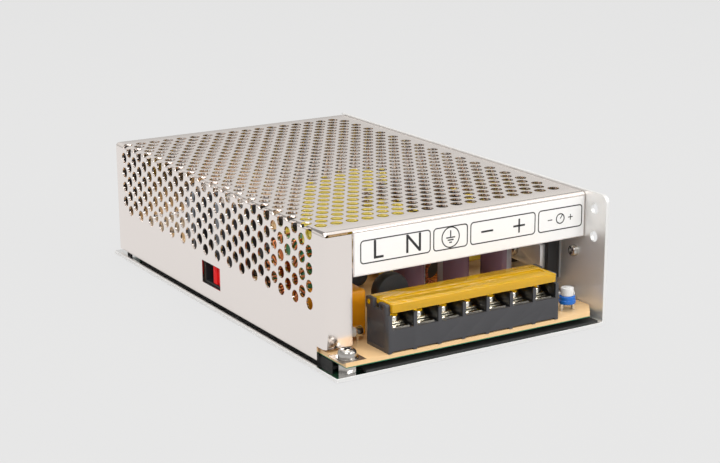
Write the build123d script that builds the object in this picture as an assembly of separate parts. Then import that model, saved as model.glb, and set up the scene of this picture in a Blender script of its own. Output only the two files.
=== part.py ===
from build123d import *
import math
import os

# Enclosed switch-mode power supply in a folded metal case with an open terminal deck in front.
# Millimetres. Everything is drawn from the case's lower front left corner, with x to the right,
# y to the rear and z up, and is moved to the middle of the base when it is exported.

# Case
case_width = 98.0
case_length = 160.0
case_height = 42.0

# Chassis, folded from one sheet: base, right wall and rear lip
chassis_sheet = 1.2
chassis_fold = 2.0
wall_corner = 2.5
rear_lip_height = 12.0
rear_lip_inset = 12.0
fold_relief = 1.6

# Holes of the chassis
panel_hole = 3.4
panel_hole_setback = 5.6
panel_hole_height = 28.0
panel_hole_spacing = 8.8
panel_hole_count = 2
base_hole = 3.4
base_hole_margin_x = 14.0
base_hole_margin_y = 25.0

# Cover, folded from one perforated sheet: top, left side, front flange, front strip and rear flange
cover_sheet = 0.8
cover_fold = 1.4
base_margin = 1.9
deck_depth = 10.3
wall_rise = 0.5
wall_gap = 0.2
base_gap = 0.3
lip_gap = 0.1
side_corner_height = 6.4
side_corner_setback = 4.7
flange_height = 14.4
strip_width = 9.4
flange_split = 0.5
rear_relief = 0.8
strip_slit = 0.5
tab_width = 14.0
tab_height = 9.0
tab_setback = 22.0

# Vents of the cover: a plain grid with the free area of its small staggered holes
vent_size = 8.0
vent_step = 11.3
vent_front_margin = 8.2
vent_rear_margin = 9.0
vent_left_margin = 3.0
vent_right_margin = 4.4
vent_side_floor = 17.6
vent_side_margin = 4.0

# Cover screws, with flush heads in the right wall
cover_screw = 3.0
cover_screw_head = 5.6
cover_screw_length = 4.4
tab_hole_drop = 5.2

# Front label and the insulating film under the front of the cover's top
label_thickness = 0.15
label_margin = 0.3
film_thickness = 0.3
film_depth = 18.0
film_width = 56.0
film_drop = 5.0

# Insulation sheet under the board
sheet_thickness = 0.4
sheet_setback = 1.0
sheet_lip = 2.0
sheet_cutout = 9.0

# Circuit board on its spacers
board_sheet = 1.6
board_front = 0.3
board_gap = 0.4
board_rear_gap = 1.5
board_notch_width = 4.5
board_notch_depth = 6.0
spacer_height = 2.6
spacer_radius = 2.9
board_screw = 3.0
board_screw_head = 5.6
board_screw_head_height = 2.1
board_screw_length = 4.2
washer_radius = 3.4
washer_thickness = 0.6
front_screw_inset = (2.9, 4.2)
inner_screw_inset = 4.4
right_screw_line = 18.5
rear_screw_inset = 8.0
turned_flat_count = 8
disc_flat_count = 24
can_flat_count = 16
hexagon_flat_count = 6
thread_gap = 0.18

# Terminal block
pole_count = 7
pole_pitch = 8.65
barrier = 1.2
block_shift = 0.825
block_depth = 12.0
block_floor = 6.6
front_wall_height = 7.1
barrier_height = 11.6
rear_wall = 1.4
ear_width = 4.2
ear_front = 1.1
ear_rear_overhang = 0.6
ear_rise_front = 14.5
ear_rise_rear = 14.8
ear_gap_height = 12.2
ear_corner = 0.5
foot_notch = 0.6
end_recess = 0.3
end_recess_margin = 0.6
pivot_height = 13.3
pivot_from_ear_rear = 1.7
front_pivot_from_ear_front = 2.9
pivot_pin = 1.6
pivot_gap = 0.08
pin_flat_count = 12

# Terminal hardware
contact_thickness = 0.8
contact_width = 6.4
contact_front = 1.3
contact_gap = 0.2
contact_leg_width = 3.0
contact_leg_reach = 1.0
clamp_size = (6.4, 5.8, 0.8)
terminal_screw_line = 7.1
terminal_screw = 3.5
terminal_screw_head = 6.0
terminal_screw_head_height = 2.1
terminal_screw_length = 5.0
driver_slot = 0.9
driver_slot_depth = 1.0

# Terminal lid
lid_thickness = 1.2
lid_end_gap = 0.1
lid_rear_reach = 1.4
lid_rise = 1.5
lid_lip_height = 2.5
lid_boss_width = 1.8
lid_boss_radius = 1.1
lid_channel = 0.3
lid_channel_width = 3.2

# Output trimmer
trimmer_radius = 3.1
trimmer_inset = 9.55
trimmer_line = 6.0
trimmer_body_height = 2.6
trimmer_leg_height = 2.2
rotor_radius = 2.5
rotor_height = 2.5
rotor_stub_radius = 1.2
rotor_stub_depth = 1.4
rotor_gap = 0.1
rotor_slot = 0.8
rotor_slot_depth = 0.9

# Voltage selector behind the window in the cover's left side
window_front = 77.5
window_length = 13.1
window_bottom = 6.8
window_height = 7.6
selector_gap = 0.2
selector_wall = 1.2
selector_depth = 8.0
selector_recess = 5.2
selector_rim = 0.6
slider_length = 6.6
slider_gap = 0.15
slider_inset = 0.2
slider_grip = 1.2

# Fuse
fuse_left = 7.5
fuse_line = 15.6
fuse_radius = 1.6
fuse_length = 10.0
fuse_cap_radius = 1.8
fuse_cap_length = 2.6
fuse_lift = 1.2
lead_size = 0.8

# Film capacitor and thermistor
film_cap_left = 6.3
film_cap_line = 18.8
film_cap_size = (15.0, 10.0, 14.3)
film_cap_corner = 0.9
thermistor_at = (31.6, 19.6)
thermistor_radius = 5.9
thermistor_thickness = 4.6
thermistor_lift = 5.4
thermistor_lead_spacing = 5.0

# Input choke: an upright ring with its two windings
input_choke_at = (13.2, 43.4)
input_choke_radius = 13.0
input_choke_bore = 6.5
input_choke_width = 9.0
input_choke_opening = 30.0
winding_wire = 0.9
winding_gap = 0.1

# Capacitors
output_cap_line = 30.0
output_cap_inset = 19.8
output_cap_step = 16.6
output_cap_count = 3
output_cap_radius = 5.0
output_cap_height = 20.0
bulk_cap_at = (21.5, 100.0)
bulk_cap_step = 21.0
bulk_cap_count = 2
bulk_cap_radius = 10.0
bulk_cap_height = 25.0

# Output choke: an upright ring across the case
output_choke_at = (60.0, 40.8)
output_choke_radius = 8.0
output_choke_bore = 4.4
output_choke_width = 4.6
output_choke_opening = 30.0

# Transformers
transformer_inset = 25.8
transformer_line = 68.0
transformer_core = (18.0, 32.0, 29.0)
transformer_winding = (40.0, 24.0, 22.0)
transformer_gap = 0.2
drive_transformer_left = 48.0
drive_transformer_inset = 55.0
drive_transformer_core = (12.0, 16.0, 13.0)
drive_transformer_winding = (17.0, 9.0, 8.5)

# Bridge rectifier and control parts
bridge_at = (22.0, 66.0)
bridge_size = (22.0, 3.6, 15.0)
bridge_lift = 3.0
bridge_lead_step = 5.0
bridge_lead_count = 4
chip_left = 52.0
chip_inset = 34.0
chip_size = (19.5, 6.5, 3.6)
resistor_left = 42.0
resistor_inset = 10.0
resistor_count = 3
resistor_step = 6.0
resistor_length = 9.0
resistor_radius = 1.5
ceramic_inset = 26.0
ceramic_line = 64.0
ceramic_count = 2
ceramic_step = 13.0
ceramic_radius = 3.6
ceramic_thickness = 2.6

# Power devices clamped to the right wall
device_size = (4.6, 10.0, 15.0)
device_lift = 5.0
device_lead_step = 2.5
pad_thickness = 0.4
rear_device_inset = 38.0
rear_device_step = 22.0
front_device_line = 38.0
front_device_step = 22.0
bar_thickness = 2.0
bar_height = 8.0
bar_overlap = 7.0
clamp_screw = 3.0
clamp_screw_head = 5.6
clamp_screw_head_height = 2.0

# Screw and wire link beside the terminal block
wall_screw_line = 14.8
wall_screw_height = 21.3
wall_screw_head = 4.8
link_inset = 4.2
link_line = 8.3
link_length = 5.6
link_height = 5.0

# Places worked out from the sizes above
input_choke_arc = 90 - input_choke_opening / 2
output_choke_arc = 180 - output_choke_opening / 2
wall_inner = case_width - chassis_sheet
cover_left = base_margin
cover_right = wall_inner - wall_gap
cover_top = case_height - wall_rise
cover_bottom = chassis_sheet + base_gap
cover_inner_left = cover_left + cover_sheet
cover_inner_top = cover_top - cover_sheet
flange_left = cover_left + strip_width + flange_split
flange_bottom = cover_top - flange_height
lip_outer = case_length - cover_sheet - lip_gap
lip_inner = lip_outer - chassis_sheet
board_under = chassis_sheet + spacer_height
board_top = board_under + board_sheet
board_left = cover_inner_left + board_gap
board_right = wall_inner - board_gap
board_rear = lip_inner - board_rear_gap
block_width = pole_count * pole_pitch + barrier
block_left = (case_width - block_width) / 2 - block_shift
block_right = block_left + block_width
well_width = pole_pitch - barrier
screw_bore = board_screw / 2 + thread_gap
ear_rear = block_depth + ear_rear_overhang
pivot_line = ear_rear - pivot_from_ear_rear
pivot_z = board_top + pivot_height
tab_lines = (tab_setback, case_length - tab_setback)
rear_device_line = case_length - rear_device_inset
transformer_at = (wall_inner - transformer_inset, transformer_line)
drive_transformer_at = (drive_transformer_left, case_length - drive_transformer_inset)
board_screw_points = (
    (board_left + front_screw_inset[0], board_front + front_screw_inset[1]),
    (board_right - inner_screw_inset, right_screw_line),
    (board_left + inner_screw_inset, board_rear - rear_screw_inset),
    (board_right - inner_screw_inset, board_rear - rear_screw_inset),
)


def block(x0, x1, y0, y1, z0, z1):
    """Square-cornered piece between two planes along each axis."""
    return Pos(x0, y0, z0) * Box(x1 - x0, y1 - y0, z1 - z0, align=(Align.MIN, Align.MIN, Align.MIN))


def seated(x, y, size, z=board_top):
    """Square-cornered piece centred on a point of the board and standing on it."""
    width, depth, height = size
    return Pos(x, y, z) * Box(width, depth, height, align=(Align.CENTER, Align.CENTER, Align.MIN))


def turned(x, y, z, radius, height, flats=turned_flat_count):
    """Upright turned piece, drawn with a few flats because it repeats."""
    return Pos(x, y, z) * extrude(RegularPolygon(radius, flats), height)


def drilled(x, y, z, diameter, height):
    """Round upright bore or pin from z upwards."""
    return Pos(x, y, z) * Cylinder(diameter / 2, height, align=(Align.CENTER, Align.CENTER, Align.MIN))


def screwed(x, y, z, diameter, length, flats=turned_flat_count):
    """Turned piece or its bore from x to the right, drawn with a few flats because it repeats."""
    return Pos(x, y, z) * Rot(0, 90, 0) * extrude(RegularPolygon(diameter / 2, flats), length)


def across(x, y, z, diameter, length):
    """Round bore or pin from x to the right."""
    return Pos(x, y, z) * Rot(0, 90, 0) * Cylinder(
        diameter / 2, length, align=(Align.CENTER, Align.CENTER, Align.MIN)
    )


def folded(points, sheet, radius, side):
    """Cross-section of a sheet folded along its outer face."""
    outer = FilletPolyline(*points, radius=radius)
    return make_face(offset(outer, sheet, side=side))


# Case


def chassis():
    """Base, right wall and rear lip, folded from one sheet."""
    section = folded(
        [(0, 0), (case_width, 0), (case_width, case_height)],
        chassis_sheet,
        chassis_fold,
        Side.LEFT,
    )
    body = extrude(Plane.XZ * section, -case_length)
    body = body - wall_corner_cut()
    lip_left = rear_lip_inset
    lip_right = wall_inner - rear_lip_inset
    fold_start = lip_outer - 2 * chassis_fold
    waste = block(
        lip_left - fold_relief, lip_right + fold_relief, fold_start, case_length, 0, chassis_sheet
    )
    lip = folded(
        [(fold_start, 0), (lip_outer, 0), (lip_outer, rear_lip_height)],
        chassis_sheet,
        chassis_fold,
        Side.LEFT,
    )
    body = body - waste + Pos(lip_left, 0, 0) * extrude(Plane.YZ * lip, lip_right - lip_left)
    return body - chassis_holes()


def wall_corner_cut():
    """Waste outside the rounded front top corner of the right wall."""
    waste = block(wall_inner, case_width, 0, wall_corner, case_height - wall_corner, case_height)
    return waste - across(wall_inner, wall_corner, case_height - wall_corner, 2 * wall_corner, chassis_sheet)


def chassis_holes():
    """Panel holes, base holes and the bores for the screws of the right wall."""
    holes = []
    for step in range(panel_hole_count):
        height = panel_hole_height + step * panel_hole_spacing
        holes.append(across(wall_inner, panel_hole_setback, height, panel_hole, chassis_sheet))
    for x in (base_hole_margin_x, case_width - base_hole_margin_x):
        for y in (base_hole_margin_y, case_length - base_hole_margin_y):
            holes.append(drilled(x, y, 0, base_hole, chassis_sheet))
    bore = clamp_screw + 2 * thread_gap
    holes.append(screwed(wall_inner, wall_screw_line, wall_screw_height, bore, chassis_sheet))
    for line in (front_device_line, rear_device_line):
        holes.append(screwed(wall_inner, line, bar_middle(), bore, chassis_sheet))
    for line in tab_lines:
        holes.append(flush_head(line, thread_gap))
    return holes


def flush_head(line, gap):
    """Countersunk head of a cover screw in the right wall, or its seat when gap is added."""
    face = RegularPolygon(cover_screw_head / 2 + gap, turned_flat_count)
    slope = math.degrees(math.atan((cover_screw_head - cover_screw) / 2 / chassis_sheet))
    head = extrude(face, chassis_sheet, taper=slope)
    return Pos(case_width, line, cover_top - tab_hole_drop) * Rot(0, -90, 0) * head


def cover():
    """Perforated cover, folded from one sheet."""
    top_and_side = folded(
        [(cover_left, cover_bottom), (cover_left, cover_top), (cover_right, cover_top)],
        cover_sheet,
        cover_fold,
        Side.RIGHT,
    )
    body = Pos(0, deck_depth, 0) * extrude(Plane.XZ * top_and_side, deck_depth - case_length)
    body = body - cover_trims() - vents()
    body = body + [front_flange(), front_strip(), rear_flange()]
    body = body + [side_tab(line) for line in tab_lines]
    window = block(
        cover_left,
        cover_inner_left,
        window_front,
        window_front + window_length,
        window_bottom,
        window_bottom + window_height,
    )
    return body - window


def cover_trims():
    """Waste cut from the top and the left side before the flanges are folded from them."""
    fold = 2 * cover_fold
    bend_end = cover_left + cover_fold
    corner_rear = deck_depth + side_corner_setback
    strip_top = cover_inner_top - strip_slit
    trims = [
        block(flange_left, cover_right, deck_depth, deck_depth + fold, cover_inner_top, cover_top),
        block(bend_end, cover_right, case_length - fold, case_length, cover_inner_top, cover_top),
        block(cover_left, cover_inner_left, deck_depth, corner_rear, cover_bottom, side_corner_height),
        block(cover_left, cover_inner_left, deck_depth, deck_depth + fold, side_corner_height, strip_top),
    ]
    for line in tab_lines:
        half = tab_width / 2
        left = cover_right - fold
        trims.append(block(left, cover_right, line - half, line + half, cover_inner_top, cover_top))
    return trims


def vent_places(start, end):
    """Starts of the vent openings that fit between two lines."""
    count = int((end - start - vent_size) / vent_step) + 1
    return [start + index * vent_step for index in range(count)]


def vents():
    """Vent openings of the top and of the upper part of the left side."""
    lines = vent_places(deck_depth + vent_front_margin, case_length - vent_rear_margin)
    columns = vent_places(cover_left + vent_left_margin, cover_right - vent_right_margin)
    rows = vent_places(vent_side_floor, cover_top - vent_side_margin)
    openings = []
    for y in lines:
        for x in columns:
            openings.append(block(x, x + vent_size, y, y + vent_size, cover_inner_top, cover_top))
        for z in rows:
            openings.append(block(cover_left, cover_inner_left, y, y + vent_size, z, z + vent_size))
    return openings


def front_flange():
    """Front flange that carries the label, folded down from the top's front edge."""
    section = folded(
        [(deck_depth, flange_bottom), (deck_depth, cover_top), (deck_depth + 2 * cover_fold, cover_top)],
        cover_sheet,
        cover_fold,
        Side.RIGHT,
    )
    return Pos(flange_left, 0, 0) * extrude(Plane.YZ * section, cover_right - flange_left)


def front_strip():
    """Narrow front flange, folded in from the left side and split from the top by a slit."""
    section = folded(
        [
            (cover_left + strip_width, deck_depth),
            (cover_left, deck_depth),
            (cover_left, deck_depth + 2 * cover_fold),
        ],
        cover_sheet,
        cover_fold,
        Side.RIGHT,
    )
    strip_top = cover_inner_top - strip_slit
    return Pos(0, 0, side_corner_height) * extrude(section, strip_top - side_corner_height)


def rear_flange():
    """Rear flange, folded down from the top's rear edge outside the chassis lip."""
    section = folded(
        [
            (case_length, side_corner_height),
            (case_length, cover_top),
            (case_length - 2 * cover_fold, cover_top),
        ],
        cover_sheet,
        cover_fold,
        Side.LEFT,
    )
    left = cover_left + cover_fold + rear_relief
    return Pos(left, 0, 0) * extrude(Plane.YZ * section, cover_right - left)


def side_tab(line):
    """Screw tab, folded down from the top's right edge inside the right wall."""
    section = folded(
        [
            (cover_right - 2 * cover_fold, cover_top),
            (cover_right, cover_top),
            (cover_right, cover_top - tab_height),
        ],
        cover_sheet,
        cover_fold,
        Side.RIGHT,
    )
    tab = Pos(0, line - tab_width / 2, 0) * extrude(Plane.XZ * section, -tab_width)
    bore = cover_screw + 2 * thread_gap
    return tab - screwed(cover_right - cover_sheet, line, cover_top - tab_hole_drop, bore, cover_sheet)


def cover_screws():
    """Flush-headed screws through the right wall into the cover's tabs."""
    screws = []
    for line in tab_lines:
        shank = screwed(
            case_width - cover_screw_length,
            line,
            cover_top - tab_hole_drop,
            cover_screw,
            cover_screw_length - chassis_sheet,
        )
        screws.append(shank + flush_head(line, 0))
    return screws


def front_label():
    """Printed label on the front flange."""
    return block(
        flange_left + label_margin,
        cover_right - label_margin,
        deck_depth - label_thickness,
        deck_depth,
        flange_bottom + label_margin,
        cover_top - cover_fold,
    )


def insulating_film():
    """Film under the front of the cover's top, folded down along the left side."""
    section = Polyline(
        (cover_inner_left + film_thickness, cover_inner_top - film_drop),
        (cover_inner_left, cover_inner_top - film_drop),
        (cover_inner_left, cover_inner_top - cover_fold),
        (cover_inner_left + cover_fold, cover_inner_top),
        (film_width, cover_inner_top),
        (film_width, cover_inner_top - film_thickness),
        (cover_inner_left + cover_fold, cover_inner_top - film_thickness),
        (cover_inner_left + film_thickness, cover_inner_top - cover_fold),
        close=True,
    )
    start = deck_depth + cover_sheet + cover_fold
    return Pos(0, start, 0) * extrude(Plane.XZ * make_face(section), -film_depth)


# Board and its fixings


def insulation_sheet():
    """Black sheet on the base with a lip turned up along the left, open round the spacers."""
    left = board_left + sheet_thickness
    right = case_width - chassis_fold
    section = Polyline(
        (left, chassis_sheet),
        (right, chassis_sheet),
        (right, chassis_sheet + sheet_thickness),
        (left + sheet_thickness, chassis_sheet + sheet_thickness),
        (left + sheet_thickness, chassis_sheet + sheet_lip),
        (left, chassis_sheet + sheet_lip),
        close=True,
    )
    front = board_front + sheet_setback
    sheet = Pos(0, front, 0) * extrude(Plane.XZ * make_face(section), front - board_rear)
    for x, y in board_screw_points:
        sheet = sheet - seated(x, y, (sheet_cutout, sheet_cutout, sheet_lip), chassis_sheet)
    return sheet


def circuit_board():
    """Board with a notch at its front right corner, screw holes and slots for the terminals."""
    notch_x = board_right - board_notch_width
    notch_y = board_front + board_notch_depth
    outline = Polyline(
        (board_left, board_front),
        (notch_x, board_front),
        (board_right, notch_y),
        (board_right, board_rear),
        (board_left, board_rear),
        close=True,
    )
    board = Pos(0, 0, board_under) * extrude(make_face(outline), board_sheet)
    holes = [turned(x, y, board_under, screw_bore, board_sheet) for x, y in board_screw_points]
    for pole in range(pole_count):
        holes.append(leg_slot(pole, board_under, board_sheet))
    return board - holes


def spacers():
    """Hexagonal spacers riveted to the base, each bored for a board screw."""
    pieces = []
    for x, y in board_screw_points:
        body = turned(x, y, chassis_sheet, spacer_radius, spacer_height, hexagon_flat_count)
        pieces.append(body - turned(x, y, chassis_sheet, screw_bore, spacer_height))
    return pieces


def board_washers():
    """Washers under the heads of the board screws."""
    pieces = []
    for x, y in board_screw_points:
        ring = turned(x, y, board_top, washer_radius, washer_thickness)
        pieces.append(ring - turned(x, y, board_top, screw_bore, washer_thickness))
    return pieces


def board_screws():
    """Pan-head screws through the board into the spacers."""
    pieces = []
    head_z = board_top + washer_thickness
    for x, y in board_screw_points:
        head = turned(x, y, head_z, board_screw_head / 2, board_screw_head_height)
        slot_z = head_z + board_screw_head_height - driver_slot_depth
        slot = seated(x, y, (board_screw_head, driver_slot, driver_slot_depth), slot_z)
        shank = turned(x, y, head_z - board_screw_length, board_screw / 2, board_screw_length)
        pieces.append(head - slot + shank)
    return pieces


# Terminal block


def pole_middle(pole):
    """Middle of one pole, counted from the left."""
    return block_left + barrier + well_width / 2 + pole * pole_pitch


def leg_slot(pole, z, height):
    """Slot that a contact leg passes through with a little room."""
    return block(
        pole_middle(pole) - contact_leg_width / 2 - contact_gap,
        pole_middle(pole) + contact_leg_width / 2 + contact_gap,
        contact_leg_front() - contact_gap,
        contact_leg_front() + contact_thickness + contact_gap,
        z,
        z + height,
    )


def contact_leg_front():
    """Front of the contact legs, just ahead of the block's rear wall."""
    return block_depth - rear_wall - contact_gap - contact_thickness - contact_gap


def terminal_housing():
    """Moulded block of barriers and wells between two end walls with hinge ears."""
    floor_z = board_top + block_floor
    top = board_top + barrier_height
    rear = block_depth - rear_wall
    body = block(block_left, block_right, 0, block_depth, board_top, top)
    for pole in range(pole_count):
        left = pole_middle(pole) - well_width / 2
        right = left + well_width
        middle = pole_middle(pole)
        body = body - block(left, right, barrier, rear, floor_z, top)
        body = body - block(left, right, 0, barrier, board_top + front_wall_height, top)
        body = body - block(left, right, 0, barrier, board_top, board_top + foot_notch)
        body = body - leg_slot(pole, board_top, block_floor)
        body = body - seated(middle, terminal_screw_line, screw_pocket(), floor_z - terminal_screw_length)
    for x in (block_left, block_right - barrier):
        body = body + end_wall(x)
    return body - end_recesses()


def screw_pocket():
    """Square pocket under a contact that clears the screw's tip."""
    side = terminal_screw + 2 * contact_gap
    return (side, side, terminal_screw_length)


def end_wall(x):
    """End wall with two ears, bored for the lid's pins."""
    top = board_top + barrier_height
    gap_z = board_top + ear_gap_height
    ear_rear_z = board_top + ear_rise_rear
    ear_front_z = board_top + ear_rise_front
    outline = Polyline(
        (0, board_top),
        (block_depth, board_top),
        (block_depth, top - ear_rear_overhang),
        (ear_rear, top),
        (ear_rear, ear_rear_z - ear_corner),
        (ear_rear - ear_corner, ear_rear_z),
        (ear_rear - ear_width, ear_rear_z),
        (ear_rear - ear_width, gap_z),
        (ear_front + ear_width, gap_z),
        (ear_front + ear_width, ear_front_z),
        (ear_front + ear_corner, ear_front_z),
        (ear_front, ear_front_z - ear_corner),
        (ear_front, top),
        (0, top - ear_corner),
        close=True,
    )
    wall = Pos(x, 0, 0) * extrude(Plane.YZ * make_face(outline), barrier)
    bore = pivot_pin + 2 * pivot_gap
    wall = wall - screwed(x, pivot_line, pivot_z, bore, barrier, pin_flat_count)
    return wall - screwed(x, ear_front + front_pivot_from_ear_front, pivot_z, bore, barrier, pin_flat_count)


def end_recesses():
    """Shallow bare panels in the outer faces of the end walls."""
    front = 2 * barrier
    rear = block_depth - end_recess_margin
    low = board_top + barrier
    high = board_top + front_wall_height + barrier
    return [
        block(block_left, block_left + end_recess, front, rear, low, high),
        block(block_right - end_recess, block_right, front, rear, low, high),
    ]


def terminal_contacts():
    """Flat contact of each pole, with a leg that passes down through the board."""
    floor_z = board_top + block_floor
    leg_y = contact_leg_front()
    pieces = []
    for pole in range(pole_count):
        middle = pole_middle(pole)
        plate = block(
            middle - contact_width / 2,
            middle + contact_width / 2,
            contact_front,
            leg_y + contact_thickness,
            floor_z,
            floor_z + contact_thickness,
        )
        leg = block(
            middle - contact_leg_width / 2,
            middle + contact_leg_width / 2,
            leg_y,
            leg_y + contact_thickness,
            board_under - contact_leg_reach,
            floor_z,
        )
        pieces.append(plate + leg - screw_clearance(middle, floor_z, contact_thickness))
    return pieces


def clamp_plates():
    """Square wire clamp under each terminal screw."""
    z = board_top + block_floor + contact_thickness
    pieces = []
    for pole in range(pole_count):
        middle = pole_middle(pole)
        plate = seated(middle, terminal_screw_line, clamp_size, z)
        pieces.append(plate - screw_clearance(middle, z, clamp_size[2]))
    return pieces


def screw_clearance(middle, z, height):
    """Clearance bore for a terminal screw."""
    radius = terminal_screw / 2 + thread_gap
    return turned(middle, terminal_screw_line, z, radius, height)


def terminal_screws():
    """Pan-head screw of each pole, through its clamp and contact."""
    head_z = board_top + block_floor + contact_thickness + clamp_size[2]
    slot_z = head_z + terminal_screw_head_height - driver_slot_depth
    slot_size = (driver_slot, terminal_screw_head, driver_slot_depth)
    y = terminal_screw_line
    pieces = []
    for pole in range(pole_count):
        x = pole_middle(pole)
        head = turned(x, y, head_z, terminal_screw_head / 2, terminal_screw_head_height)
        shank_z = head_z - terminal_screw_length
        shank = turned(x, y, shank_z, terminal_screw / 2, terminal_screw_length)
        pieces.append(head - seated(x, y, slot_size, slot_z) + shank)
    return pieces


def terminal_lid():
    """Clear lid that hinges on two pins in the rear ears."""
    left = block_left + barrier + lid_end_gap
    right = block_right - barrier - lid_end_gap
    top = pivot_z + lid_rise
    under = top - lid_thickness
    section = Polyline(
        (0, top - lid_lip_height),
        (0, top),
        (pivot_line + lid_rear_reach, top),
        (pivot_line + lid_rear_reach, under),
        (lid_thickness, under),
        (lid_thickness, top - lid_lip_height),
        close=True,
    )
    lid = Pos(left, 0, 0) * extrude(Plane.YZ * make_face(section), right - left)
    channel_y = pivot_line / 2
    lid = lid - block(
        left + barrier,
        right - barrier,
        channel_y - lid_channel_width / 2,
        channel_y + lid_channel_width / 2,
        top - lid_channel,
        top,
    )
    for x in (left, right - lid_boss_width):
        lid = lid + screwed(x, pivot_line, pivot_z, 2 * lid_boss_radius, lid_boss_width, pin_flat_count)
    reach = barrier + lid_end_gap
    for x in (left - reach, right):
        lid = lid + screwed(x, pivot_line, pivot_z, pivot_pin, reach, pin_flat_count)
    return lid


# Output trimmer


def trimmer_x():
    """Middle of the trimmer, between the terminal block and the right wall."""
    return wall_inner - trimmer_inset


def trimmer_legs():
    """Three solder legs that hold the trimmer above the board."""
    spread = trimmer_radius - lead_size
    places = ((-spread, 0), (spread, 0), (0, spread))
    return [
        seated(trimmer_x() + dx, trimmer_line + dy, (lead_size, lead_size, trimmer_leg_height))
        for dx, dy in places
    ]


def trimmer_body():
    """Round body with the bore that the rotor turns in."""
    z = board_top + trimmer_leg_height
    body = turned(trimmer_x(), trimmer_line, z, trimmer_radius, trimmer_body_height, can_flat_count)
    bore_z = z + trimmer_body_height - rotor_stub_depth - rotor_gap
    bore = rotor_stub_radius + pivot_gap
    depth = rotor_stub_depth + rotor_gap
    return body - turned(trimmer_x(), trimmer_line, bore_z, bore, depth, can_flat_count)


def trimmer_rotor():
    """Slotted rotor on a stub that turns in the body."""
    z = board_top + trimmer_leg_height + trimmer_body_height + rotor_gap
    rotor = turned(trimmer_x(), trimmer_line, z, rotor_radius, rotor_height, can_flat_count)
    stub_z = z - rotor_stub_depth
    stub = turned(trimmer_x(), trimmer_line, stub_z, rotor_stub_radius, rotor_stub_depth, can_flat_count)
    slot_z = z + rotor_height - rotor_slot_depth
    slot = seated(trimmer_x(), trimmer_line, (2 * rotor_radius, rotor_slot, rotor_slot_depth), slot_z)
    return rotor + stub - slot


# Voltage selector


def selector_face():
    """Outer face of the selector, just inside the cover's left side."""
    return cover_inner_left + selector_gap


def selector_body():
    """Switch housing on the board with a recess open to the window."""
    front = window_front - selector_wall
    rear = window_front + window_length + selector_wall
    top = window_bottom + window_height + selector_wall
    face = selector_face()
    body = block(face, face + selector_depth, front, rear, board_top, top)
    recess = block(
        face,
        face + selector_recess,
        window_front + selector_rim,
        window_front + window_length - selector_rim,
        window_bottom + selector_rim,
        window_bottom + window_height - selector_rim,
    )
    return body - recess


def selector_slider():
    """Slider that travels rearwards in the recess, with a groove for a screwdriver."""
    face = selector_face() + slider_inset
    front = window_front + selector_rim + slider_gap
    low = window_bottom + selector_rim + slider_gap
    high = window_bottom + window_height - selector_rim - slider_gap
    back = selector_face() + selector_recess - slider_gap
    slider = block(face, back, front, front + slider_length, low, high)
    groove_front = front + slider_length / 2 - slider_grip / 2
    return slider - block(face, face + slider_grip, groove_front, groove_front + slider_grip, low, high)


# Parts on the board


def lead(x, y, height, z=board_top):
    """Straight wire lead that stands on the board."""
    return seated(x, y, (lead_size, lead_size, height), z)


def fuse_body():
    """Ceramic barrel of the fuse, lying across the board."""
    z = board_top + fuse_lift + fuse_cap_radius
    length = fuse_length - 2 * fuse_cap_length
    return screwed(fuse_left + fuse_cap_length, fuse_line, z, 2 * fuse_radius, length)


def fuse_ends():
    """Metal caps of the fuse with their leads bent down to the board."""
    z = board_top + fuse_lift + fuse_cap_radius
    pieces = []
    for x in (fuse_left, fuse_left + fuse_length - fuse_cap_length):
        cap = screwed(x, fuse_line, z, 2 * fuse_cap_radius, fuse_cap_length)
        leg_x = x + fuse_cap_length / 2
        pieces.append(cap + lead(leg_x, fuse_line, fuse_lift + fuse_cap_radius / 2))
    return pieces


def film_capacitor():
    """Box-shaped film capacitor with rounded upright edges."""
    width, depth, height = film_cap_size
    body = seated(film_cap_left + width / 2, film_cap_line + depth / 2, film_cap_size)
    return fillet(body.edges().filter_by(Axis.Z), film_cap_corner)


def thermistor_disc():
    """Disc thermistor, standing across the case."""
    x, y = thermistor_at
    z = board_top + thermistor_lift + thermistor_radius
    disc = extrude(RegularPolygon(thermistor_radius, disc_flat_count), thermistor_thickness)
    return Pos(x, y, z) * Rot(-90, 0, 0) * disc


def thermistor_leads():
    """Two leads that hold the thermistor above the board."""
    x, y = thermistor_at
    middle = y + thermistor_thickness / 2
    half = thermistor_lead_spacing / 2
    rise = thermistor_radius - math.sqrt(thermistor_radius**2 - (half + lead_size) ** 2)
    height = thermistor_lift + rise
    pins = [lead(x + side * half, middle, height) for side in (-1, 1)]
    return [pin - thermistor_disc() for pin in pins]


def choke_height(radius, arc):
    """Height of an upright ring's middle when it stands on windings that span arc degrees each way."""
    reach = math.sin(math.radians(min(arc, 90)))
    return board_top + max((radius + winding_wire) * reach, radius)


def ring_profile(radius, bore):
    """Flat ring with a few flats, for the cores and windings of the chokes."""
    return RegularPolygon(radius, disc_flat_count) - RegularPolygon(bore, disc_flat_count)


def ring_core(at, z, turn, radius, bore, width):
    """Upright ring core."""
    core = extrude(ring_profile(radius, bore), width / 2, both=True)
    return Pos(at[0], at[1], z) * turn * core


def ring_winding(at, z, turn, radius, bore, width, middle, arc):
    """Close-wound sleeve round a ring core, spanning arc degrees each way from its middle."""
    outside = ring_profile(radius + winding_wire, bore - winding_wire)
    inside = ring_profile(radius + winding_gap, bore - winding_gap)
    sleeve = extrude(outside, width / 2 + winding_wire, both=True)
    sleeve = sleeve - extrude(inside, width / 2 + winding_gap, both=True)
    wedge = Cylinder(
        2 * radius, 2 * width, 360 - 2 * arc, align=(Align.NONE, Align.NONE, Align.CENTER)
    )
    return Pos(at[0], at[1], z) * turn * (sleeve - Rot(0, 0, middle + arc) * wedge)


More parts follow.
